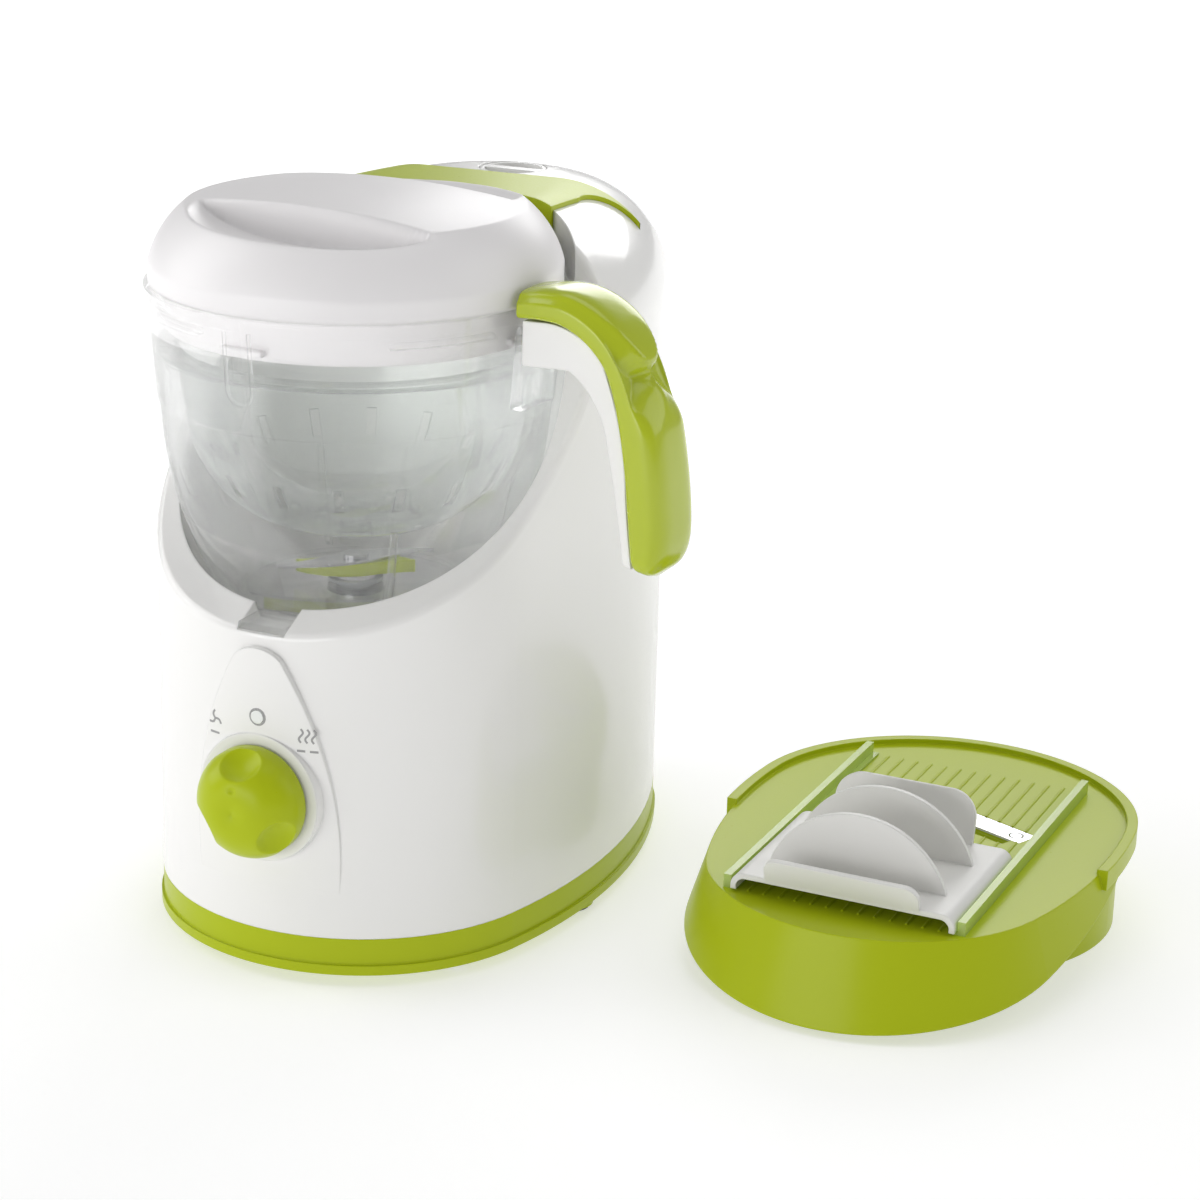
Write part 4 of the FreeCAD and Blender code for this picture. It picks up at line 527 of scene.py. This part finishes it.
def clear_plastic(name, rgb, roughness, transmission, ior=1.5, bump=0.02, through=0.0):
    """See-through plastic with faint moulding waves.

    Light for shadows passes straight through it, and so does part of the view where the wall is seen face on.
    """
    finish, tree, shader, output = new_finish(name)
    link = tree.links.new
    surface = use(
        tree, "moulded_grain", (-700, 100), Colour=rgba(rgb, 0.985), Shade=rgba(rgb, 0.96), Drift=0.4,
        Roughness=roughness, Grain=160.0, Flecks=0.03,
    )
    relief = add(tree, "ShaderNodeBump", (-350, -150))
    relief.inputs["Strength"].default_value = bump
    relief.inputs["Distance"].default_value = 0.0005
    link(surface.outputs["Colour"], shader.inputs["Base Color"])
    link(surface.outputs["Roughness"], shader.inputs["Roughness"])
    link(surface.outputs["Height"], relief.inputs["Height"])
    link(relief.outputs[0], shader.inputs["Normal"])
    shader.inputs["Transmission Weight"].default_value = transmission
    shader.inputs["IOR"].default_value = ior
    path = add(tree, "ShaderNodeLightPath", (-200, 600))
    facing = add(tree, "ShaderNodeLayerWeight", (-400, 400))
    facing.inputs["Blend"].default_value = 0.25
    straight = add(tree, "ShaderNodeMapRange", (-200, 400))
    straight.inputs["To Min"].default_value = through
    straight.inputs["To Max"].default_value = 0.0
    clear = add(tree, "ShaderNodeMath", (100, 500), operation="MAXIMUM")
    passing = add(tree, "ShaderNodeBsdfTransparent", (0, -500))
    passing.inputs["Color"].default_value = rgba(rgb, 1.01)
    blend = add(tree, "ShaderNodeMixShader", (350, 200))
    link(facing.outputs["Facing"], straight.inputs["Value"])
    link(straight.outputs[0], clear.inputs[0])
    link(path.outputs["Is Shadow Ray"], clear.inputs[1])
    link(clear.outputs[0], blend.inputs[0])
    link(shader.outputs[0], blend.inputs[1])
    link(passing.outputs[0], blend.inputs[2])
    link(blend.outputs[0], output.inputs["Surface"])
    return finish


class FOODMAKER_OT_finishes(bpy.types.Operator):
    """Makes every finish and puts it on the frame's parts by their slot names"""

    bl_idname = "food_maker.finishes"
    bl_label = "Finishes"

    def execute(self, context):
        tones = context.scene.food_maker_colours
        moulded_grain()
        rounded_edges()
        brushed_lines()
        lime = tuple(tones.lime)
        finishes = {
            # Each plastic's edge gain paints a paler highlight along its edges.
            "white_shell": plastic("white_shell", tones.white, 0.24, edge=0.0012, pale=1.04, coat=0.35),
            "white_satin": plastic("white_satin", tones.satin, 0.36, edge=0.0014, pale=1.03, bump=0.07),
            "lime": plastic("lime", lime, 0.30, edge=0.0009, pale=1.28, gloss=0.2),
            "lime_gloss": plastic("lime_gloss", lime, 0.2, edge=0.0009, pale=1.2, coat=0.3),
            "lime_clear": clear_plastic("lime_clear", tones.lime_clear, 0.18, 0.35, through=0.2),
            "clear": clear_plastic("clear", tones.clear, 0.0, 1.0, 1.50, 0.0, 0.96),
            "clear_basket": clear_plastic("clear_basket", tones.basket, 0.06, 1.0, 1.42, 0.01, 0.9),
            "off_white": plastic("off_white", tones.pusher, 0.42, edge=0.0008, pale=1.15, bump=0.08),
            "steel": metal("steel", (0.62, 0.62, 0.63), 0.22, 70.0),
            "laminated_steel": metal("laminated_steel", (0.36, 0.36, 0.38), 0.42, 300.0, 0.25),
            "alloy": metal("alloy", (0.66, 0.66, 0.65), 0.38, 40.0, 0.12),
            "rubber_grey": plastic("rubber_grey", (0.16, 0.16, 0.165), 0.7, 600.0, 0.2, drift=0.5),
            "silicone": plastic("silicone", (0.70, 0.70, 0.69), 0.5, 500.0, 0.08),
            "dark_plastic": plastic("dark_plastic", (0.045, 0.045, 0.048), 0.42, 700.0, 0.12, pale=1.6),
            "grey_plastic": plastic("grey_plastic", (0.42, 0.43, 0.44), 0.4, 700.0, 0.1),
            "board_green": plastic("board_green", (0.03, 0.17, 0.07), 0.35, 1500.0, 0.12, drift=0.7),
            "carbon": plastic("carbon", (0.03, 0.03, 0.03), 0.6, 1200.0, 0.25, pale=1.5),
            "lens": plastic("lens", (0.80, 0.82, 0.80), 0.16, coat=0.4),
            "print_grey": plastic("print_grey", tones.mark, 0.5, 1500.0, 0.02, edge=0.0001),
            "floor_pale": plastic("floor_pale", tones.floor, 0.75, 300.0, 0.0, 0.0001, 1.0, drift=0.05),
        }
        self.light_floor(finishes["floor_pale"].node_tree)
        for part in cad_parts.values():
            for holder in part.material_slots:
                named = holder.material.name.removeprefix("frame_").split(".")[0] if holder.material else ""
                if named in finishes:
                    holder.material = finishes[named]
        return {"FINISHED"}

    def light_floor(self, tree):
        """The floor's own faint light, paler with the distance from the object."""
        glow = tree.nodes["Principled BSDF"]
        where = add(tree, "ShaderNodeTexCoord", (-700, -500))
        away = add(tree, "ShaderNodeVectorMath", (-500, -500), operation="LENGTH")
        paler = add(tree, "ShaderNodeMapRange", (-300, -500))
        paler.inputs["From Min"].default_value, paler.inputs["From Max"].default_value = 0.4, 1.8
        paler.inputs["To Min"].default_value, paler.inputs["To Max"].default_value = 0.5, 1.0
        tree.links.new(where.outputs["Object"], away.inputs[0])
        tree.links.new(away.outputs["Value"], paler.inputs["Value"])
        tree.links.new(paler.outputs[0], glow.inputs["Emission Color"])
        glow.inputs["Emission Strength"].default_value = 1.0
        glow.inputs["Specular IOR Level"].default_value = 0.1


# Stage


class FOODMAKER_OT_stage(bpy.types.Operator):
    """Sets the pale floor, the soft lights, the white surroundings and the camera"""

    bl_idname = "food_maker.stage"
    bl_label = "Stage"

    def execute(self, context):
        scene, stage = context.scene, context.scene.food_maker_stage
        bearing = np.arange(48) * TURN / 48
        radius = np.array([0.2, 0.6, 1.5, 4.0, 9.0])[:, None]
        x, y = radius * np.cos(bearing), radius * np.sin(bearing)
        top = np.stack([x, y, np.zeros_like(x)], axis=-1)
        rings = np.concatenate([top, top[::-1] - [0, 0, 0.01]])
        floor = skin("floor", rings, None, "floor_pale")
        world = bpy.data.worlds.new("studio")
        world.use_nodes = True
        tree = world.node_tree
        tree.nodes["Background"].inputs["Color"].default_value = (1.0, 1.0, 1.0, 1)
        tree.nodes["Background"].inputs["Strength"].default_value = stage.surround
        seen = add(tree, "ShaderNodeBackground", (0, -200))
        seen.inputs["Color"].default_value = (1.0, 1.0, 1.0, 1)
        path = add(tree, "ShaderNodeLightPath", (0, 400))
        blend = add(tree, "ShaderNodeMixShader", (250, 100))
        tree.links.new(path.outputs["Is Camera Ray"], blend.inputs[0])
        tree.links.new(tree.nodes["Background"].outputs[0], blend.inputs[1])
        tree.links.new(seen.outputs[0], blend.inputs[2])
        tree.links.new(blend.outputs[0], tree.nodes["World Output"].inputs["Surface"])
        scene.world = world
        self.light("left_softbox", (-1.25, -0.35, 0.85), (0.0, 0.05, 0.15), (0.9, 1.3), stage.key)
        self.light("right_softbox", (1.35, 0.55, 0.9), (0.1, 0.05, 0.15), (1.0, 1.2), stage.key * 0.55)
        self.light("top_softbox", (0.15, 0.25, 1.6), (0.1, 0.05, 0.1), (1.4, 1.0), stage.top)
        self.light("back_softbox", (-0.1, 1.35, 0.8), (0.1, 0.0, 0.2), (1.0, 0.55), stage.back)
        self.light("front_softbox", (-0.35, -1.6, 0.35), (0.0, 0.0, 0.2), (1.4, 0.5), stage.front)
        data = bpy.data.cameras.new("camera")
        data.lens, data.sensor_width, data.shift_x = stage.lens, 36.0, stage.shift
        data.clip_start, data.clip_end = 0.05, 40.0
        camera = bpy.data.objects.new("camera", data)
        camera.location = stage.place
        camera.rotation_euler = (math.pi / 2 - stage.pitch, 0.0, stage.azimuth)
        scene.collection.objects.link(camera)
        scene.camera = camera
        scene.view_settings.view_transform = "Standard"
        scene.cycles.max_bounces = scene.cycles.transmission_bounces = 20
        scene.cycles.transparent_max_bounces = 40
        return {"FINISHED"}

    def light(self, name, where, target, extent, power):
        """A softbox that faces a point."""
        data = bpy.data.lights.new(name, "AREA")
        data.shape, data.size, data.size_y, data.energy = "RECTANGLE", *extent, power
        lamp = bpy.data.objects.new(name, data)
        lamp.location, lamp.visible_camera = where, False
        away = lamp.location.copy()
        away.x, away.y, away.z = (a - b for a, b in zip(where, target))
        lamp.rotation_euler = away.to_track_quat("Z", "Y").to_euler()
        bpy.context.scene.collection.objects.link(lamp)


# Lid


class FOODMAKER_OT_lid(bpy.types.Operator):
    """The lid: a dome with two finger hollows that leave a grip ridge, and its lugs"""

    bl_idname = "food_maker.lid"
    bl_label = "Lid"

    def execute(self, context):
        lid = context.scene.food_maker_lid
        r, low, top = lid.radius, lid.low, lid.top
        flank = arc((r, low + 8 * MM), (r * 0.955, low + 17 * MM), (r * 0.82, top - 4.6 * MM), 26)
        crown = arc((r * 0.82, top - 4.6 * MM), (r * 0.44, top - 1.0 * MM), (0.4 * MM, top), 130)
        side = np.stack([np.full(6, r), np.linspace(low + 0.6 * MM, low + 8 * MM, 6)], axis=1)
        outer = np.vstack([side[:-1], flank[:-1], crown])[::-1]
        skirt, bore, foot, roof_wall = 74.2 * MM, 72.0 * MM, low - 17 * MM, 2.6 * MM
        under = np.array([(r - 0.6 * MM, low), (skirt, low), (skirt, low - 16.5 * MM), (73.8 * MM, foot)])
        inner = np.array([(72.2 * MM, foot), (bore, low - 16.6 * MM), (bore, low + 6 * MM)])
        reach = np.linspace(70, 0.4, 60) * MM
        roof = np.stack([reach, np.interp(reach, outer[:, 0], outer[:, 1])], axis=1)
        profile = np.vstack([outer, under, inner, roof - [0, roof_wall]])
        bearing = np.arange(300) * TURN / 300
        radius, height = profile[:, 0][:, None], profile[:, 1][:, None]
        x, y = radius * np.cos(bearing), radius * np.sin(bearing)
        hollow = np.minimum(self.hollow(lid, x, y, 0.0), self.hollow(lid, x, y, math.pi))
        wall = np.zeros((len(profile), 1))
        wall[-len(reach) :] = roof_wall
        pressed = np.zeros((len(profile), 1), dtype=bool)
        pressed[: len(outer) - 8] = True
        pressed[-len(reach) :] = True
        z = np.where(pressed, low_blend(height, hollow - wall, 2.0 * MM), height + 0 * x)
        skin("lid_shell", np.stack([x, y, z], axis=-1), "lid_unit", "white_satin", replaces=["lid"], sharp=55)
        for k in range(4):
            outline = softened([(73.0, 249.4), (77.0, 249.4), (77.0, 251.6), (73.0, 251.6)], 0.5) * MM
            start = HANDLE_TURN + math.radians(-5 + 90 * k)
            skin(f"lid_lug_{k}", part_turned(outline, start, math.radians(14), 12), "lid_unit", "white_satin")
        return {"FINISHED"}

    def hollow(self, lid, x, y, turn):
        """Height of a finger hollow: the higher of an ellipsoid's lower half and the ridge's steep flank."""
        c, s = math.cos(lid.ridge_turn + turn), math.sin(lid.ridge_turn + turn)
        along, across = x * c + y * s, -x * s + y * c
        u = (along - lid.scoop_shift) / lid.scoop_long
        v = (across + lid.ridge_half) / lid.scoop_wide
        inside = 1 - u**2 - v**2
        bowl = lid.top - 1 * MM - lid.scoop_deep * np.sqrt(np.clip(inside, 0, 1))
        bowl = bowl + np.where(inside < 0, 0.02, 0)
        flank = lid.top + (across + lid.ridge_half) * 4.2
        return np.maximum(bowl, flank)


# Knob


class FOODMAKER_OT_knob(bpy.types.Operator):
    """The selector knob: a dome with three ball scoops and a pointer dimple"""

    bl_idname = "food_maker.knob"
    bl_label = "Knob"

    def execute(self, context):
        knob = context.scene.food_maker_knob
        r, deep = knob.radius, knob.depth
        crown = arc((r, deep * 0.35), (r * 0.78, deep * 0.8), (0.15 * MM, deep), 90)
        side = np.array([(r - 1 * MM, 0), (r - 0.3 * MM, 0.2 * MM), (r, 1 * MM), (r, deep * 0.2)])
        back = np.stack([np.linspace(3.2 * MM, r - 1.5 * MM, 12), np.zeros(12)], axis=1)
        profile = np.vstack([back, side, crown])
        bearing = np.arange(240) * TURN / 240
        radius, height = profile[:, 0][:, None], profile[:, 1][:, None]
        x, y = radius * np.cos(bearing), radius * np.sin(bearing)
        z = height + 0 * x
        dented = np.arange(len(profile))[:, None] >= len(back) + len(side)
        reach = r + knob.scoop_radius - knob.scoop_bite
        for turn in (90, 210, 330):
            a = math.radians(turn)
            apart = (x - reach * math.cos(a)) ** 2 + (y - reach * math.sin(a)) ** 2
            ball = deep + 1 * MM - np.sqrt(np.clip(knob.scoop_radius**2 - apart, 0, None))
            ball = np.where(apart < knob.scoop_radius**2, ball, 1.0)
            z = np.where(dented, low_blend(z, ball, 0.7 * MM), z)
        dimple = ((x / (2.2 * MM)) ** 2 + ((y - 9.5 * MM) / (1.6 * MM)) ** 2).clip(0, 1)
        z = np.where(dented, z - 0.7 * MM * (1 - dimple) ** 2, z)
        z = np.maximum(z, np.where(dented, 0.5 * MM, z))
        place = np.stack([x, KNOB_Y - z, KNOB_Z + y], axis=-1)
        skin("knob_cap", place, "dial", "lime", replaces=["knob"], sharp=60)
        return {"FINISHED"}


# Handle


class FOODMAKER_OT_handle(bpy.types.Operator):
    """The handle's green grip: a swept form with a raised tongue at its root and a thumb dip after it"""

    bl_idname = "food_maker.handle"
    bl_label = "Handle grip"

    def execute(self, context):
        grip = context.scene.food_maker_handle
        outer = [
            (82.6, 271.5), (92, 273.0), (102, 273.0), (112, 270.0), (121.5, 264), (130, 254.5),
            (136.5, 242.5), (141, 229), (144.3, 212), (146.2, 196), (146.2, 184), (143.5, 175), (139, 170.2),
        ]
        inner = [
            (82.6, 261.2), (92, 261.6), (101, 260.8), (109, 257.4), (115, 252.8), (119.8, 247), (123, 238.5),
            (126, 226), (128.7, 210), (130.2, 196), (131.8, 183), (132.9, 176), (134, 171.2),
        ]
        count, around = 160, 96
        top, low = smooth_line(outer, count) * MM, smooth_line(inner, count) * MM
        t = np.linspace(0, 1, count)[:, None]
        bearing = np.arange(around) * TURN / around
        c, s = np.cos(bearing), np.sin(bearing)
        end = np.sqrt(np.clip(1 - ((t - 0.86) / 0.145).clip(0, 1) ** 2, 0.02, 1))
        half = grip.width / 2 * end * (1 - 0.05 * step(0.0, 0.25, 0.25 - t))
        across = half * np.sign(c) * np.abs(c) ** 0.55
        up = np.where(s > 0, np.abs(s) ** 0.75, -np.abs(s) ** 0.35) * np.ones_like(t)
        share_up = 0.5 + 0.5 * up
        tall = np.linalg.norm(top - low, axis=1)[:, None]
        crest = step(0.55, 1.0, share_up)
        tongue_half = grip.tongue * np.sqrt(np.clip(1 - ((t - 0.2) / 0.26).clip(0, 1) ** 2.4, 0.0, 1))
        apart = np.abs(across)
        on_tongue = step(0.5 * MM, -0.5 * MM, apart - tongue_half) * step(0.465, 0.45, t)
        slope = 1.1 * (apart - tongue_half).clip(0, None) * step(0.60, 0.42, t)
        dip = grip.dip * np.exp(-(((t - 0.475) / 0.028) ** 2)) * np.exp(-((across / (8.0 * MM)) ** 2))
        drop = crest * (np.minimum(slope, 6.0 * MM) + dip - 0.9 * MM * on_tongue)
        lift = share_up * tall - drop
        axis = unit(top - low)
        plan = low[:, None, :] + axis[:, None, :] * lift[:, :, None]
        reach, height = plan[..., 0], plan[..., 1]
        ct, st = math.cos(grip.turn), math.sin(grip.turn)
        points = np.stack([reach * ct - across * st, reach * st + across * ct, height], axis=-1)
        skin("handle_cover", points, "jug_unit", "lime", False, ["handle_grip"], 70, "lime_gloss")
        return {"FINISHED"}


# Jug


class FOODMAKER_OT_jug(bpy.types.Operator):
    """The clear jug: a turned wall with its foot ring, ledges, ribs, handle boss, lock tab and tongue"""

    bl_idname = "food_maker.jug"
    bl_label = "Jug"

    def execute(self, context):
        jug = context.scene.food_maker_jug
        rim, belly, wall = jug.rim_radius / MM, jug.belly_radius / MM, jug.wall / MM
        bowl_out = arc((48, 130), (65.5, 164), (belly, 219), 60)
        bowl_in = arc((belly - wall, 219), (65.5 - wall, 164), (51, 142.6), 60)
        corners = np.vstack(
            [
                [(8.3, 140), (44, 140), (44, 126), (48, 126)],
                bowl_out,
                [(belly + 1.2, 219.6), (rim - 1, 259), (rim, 259.5), (rim, 264)],
                [(77.5, 264), (77.5, 238), (75.4, 238)],
                bowl_in,
                [(8.3, 142.6)],
            ]
        )
        profile = softened(corners, 0.35, 3) * MM
        skin("jug_wall", turned(profile, 180), "jug_unit", "clear", looped=True, replaces=["jug"], sharp=60)
        ledge = softened([(75.0, 254), (78.2, 254), (78.2, 256.5), (75.0, 256.5)], 0.5) * MM
        for k in range(4):
            start = HANDLE_TURN + math.radians(-45 + 90 * k)
            skin(f"jug_ledge_{k}", part_turned(ledge, start, math.radians(32), 24), "jug_unit", "clear")
            rib = np.array([(45, 142.2), (50.6, 142.2), (60.2, 160), (64.5, 180.6), (62, 180.6), (56.5, 162)])
            outline = softened(rib, 1.2, 5) * MM
            bearing = HANDLE_TURN + math.radians(-41 + 90 * k)
            skin(f"jug_rib_{k}", self.plate(outline, bearing, 2.4 * MM), "jug_unit", "clear")
        boss = softened([(78.5, 226), (84, 226), (84, 258), (81, 258)], 0.8) * MM
        skin("jug_boss", self.plate(boss, HANDLE_TURN, 22 * MM), "jug_unit", "clear")
        tab = softened([(56.0, 142), (75.0, 142), (75.0, 145), (57.2, 145)], 0.8) * MM
        skin("jug_lock_tab", self.plate(tab, -math.pi / 2, 20 * MM), "jug_unit", "clear")
        self.tongue(math.radians(-94))
        return {"FINISHED"}

    def plate(self, outline, bearing, thick):
        """An upright plate: an outline (radius, height) at a bearing, carried sideways by a thickness."""
        c, s = math.cos(bearing), math.sin(bearing)
        side = np.array([-0.5, -0.46, 0.46, 0.5])[:, None] * thick
        middle = outline.mean(axis=0)
        draw = np.array([0.97, 1.0, 1.0, 0.97])[:, None, None]
        plan = middle + (outline - middle) * draw
        reach, height = plan[..., 0], plan[..., 1]
        return np.stack([reach * c - side * s, reach * s + side * c, height], axis=-1)

    def tongue(self, bearing):
        """A rounded bead on the neck along a U: two uprights joined by a half circle."""
        half = 5.5
        bend = np.linspace(math.pi, TURN, 24)
        across = np.concatenate([np.full(8, -half), half * np.cos(bend), np.full(8, half)])
        fall = np.linspace(259, 237.5, 8)
        height = np.concatenate([fall, 236.5 + half * np.sin(bend), np.linspace(237.5, 259, 8)])
        radius = np.interp(height, [220, 259], [77.6, 81.2]) + 0.2
        a = bearing + across / radius
        path = np.stack([radius * np.cos(a), radius * np.sin(a), height], axis=1) * MM
        normals = np.stack([np.cos(a), np.sin(a), np.full_like(a, -0.09)], axis=1)
        skin("jug_tongue", ribbon(path, normals, 0.7 * MM, 0.6 * MM), "jug_unit", "clear")


# Marks


class FOODMAKER_OT_marks(bpy.types.Operator):
    """The printed setting marks and the ring round the lamp"""

    bl_idname = "food_maker.marks"
    bl_label = "Marks"

    def execute(self, context):
        marks = context.scene.food_maker_marks
        half, proud = marks.line / 2, marks.proud
        lines = {
            "mark_one_dash": [(-23.0, 98.2), (-18.5, 98.2)],
            "mark_two_dash_a": [(16.2, 97.6), (19.4, 97.6)],
            "mark_two_dash_b": [(21.2, 97.6), (24.4, 97.6)],
        }
        for name, ends in lines.items():
            flat = np.linspace(*np.array(ends), 8)
            self.on_field(name, flat, half, proud)
        t = np.linspace(-1, 1, 25)
        for k in range(3):
            swirl = math.radians(90 + 120 * k)
            reach, bow = 3.4 * (t + 1) / 2, 0.9 * np.sin((t + 1) / 2 * math.pi)
            x = -20.5 + reach * math.cos(swirl) - bow * math.sin(swirl)
            z = 104.0 + reach * math.sin(swirl) + bow * math.cos(swirl)
            self.on_field(f"mark_blade_{k}", np.stack([x, z], axis=1), half, proud)
        for k in range(3):
            x = 17.8 + 2.5 * k + 0.8 * np.sin(t * math.pi)
            z = 103.8 + 2.8 * t
            self.on_field(f"mark_steam_{k}", np.stack([x, z], axis=1), half * 0.9, proud)
        a = np.linspace(0, TURN, 60)
        ring = np.stack([3.3 * np.cos(a), 109 + 3.3 * np.sin(a)], axis=1)
        self.on_field("lamp_ring", ring, half * 0.7, proud, looped=True)
        return {"FINISHED"}

    def on_field(self, name, flat, half, proud, looped=False):
        """Lays a line (x, z) on the control field, a drum that leans forward: y follows from the circle."""
        x, z = flat[:, 0], flat[:, 1]
        deep = -np.sqrt(FIELD_RADIUS**2 - x**2)
        along = (z - FIELD_Z - deep * math.sin(FIELD_TIP)) / math.cos(FIELD_TIP)
        y = FIELD_Y + deep * math.cos(FIELD_TIP) - along * math.sin(FIELD_TIP)
        lean = np.full_like(x, -math.sin(FIELD_TIP))
        normals = np.stack([x / FIELD_RADIUS, deep / FIELD_RADIUS, lean], axis=1)
        path = np.stack([x, y, z], axis=1) * MM
        rings = ribbon(path, normals, half, proud)
        if looped:
            rings = rings[:-1]
        skin(name, rings, "base", "grey_plastic", looped=looped, finish="print_grey")


OPERATORS = [
    FOODMAKER_OT_finishes,
    FOODMAKER_OT_stage,
    FOODMAKER_OT_lid,
    FOODMAKER_OT_knob,
    FOODMAKER_OT_handle,
    FOODMAKER_OT_jug,
    FOODMAKER_OT_marks,
]
GROUPS = {
    "food_maker_colours": FoodMakerColours,
    "food_maker_lid": FoodMakerLid,
    "food_maker_knob": FoodMakerKnob,
    "food_maker_handle": FoodMakerHandle,
    "food_maker_jug": FoodMakerJug,
    "food_maker_marks": FoodMakerMarks,
    "food_maker_stage": FoodMakerStage,
}


class FOODMAKER_PT_panel(bpy.types.Panel):
    """Lists the pieces and the stage"""

    bl_idname = "FOODMAKER_PT_panel"
    bl_label = "Baby food maker"
    bl_space_type = "VIEW_3D"
    bl_region_type = "UI"
    bl_category = "Food maker"

    def draw(self, context):
        for kind in OPERATORS:
            self.layout.operator(kind.bl_idname)


def register():
    """Adds the classes, and one settings group each to the scene."""
    for kind in [*GROUPS.values(), *OPERATORS, FOODMAKER_PT_panel]:
        bpy.utils.register_class(kind)
    for name, kind in GROUPS.items():
        setattr(bpy.types.Scene, name, PointerProperty(type=kind))


def unregister():
    """Takes away what register added."""
    for name in GROUPS:
        delattr(bpy.types.Scene, name)
    for kind in reversed([*GROUPS.values(), *OPERATORS, FOODMAKER_PT_panel]):
        bpy.utils.unregister_class(kind)


def main():
    register()
    bpy.ops.food_maker.finishes()
    bpy.ops.food_maker.stage()
    bpy.ops.food_maker.lid()
    bpy.ops.food_maker.knob()
    bpy.ops.food_maker.handle()
    bpy.ops.food_maker.jug()
    bpy.ops.food_maker.marks()


if __name__ == "__main__":
    main()
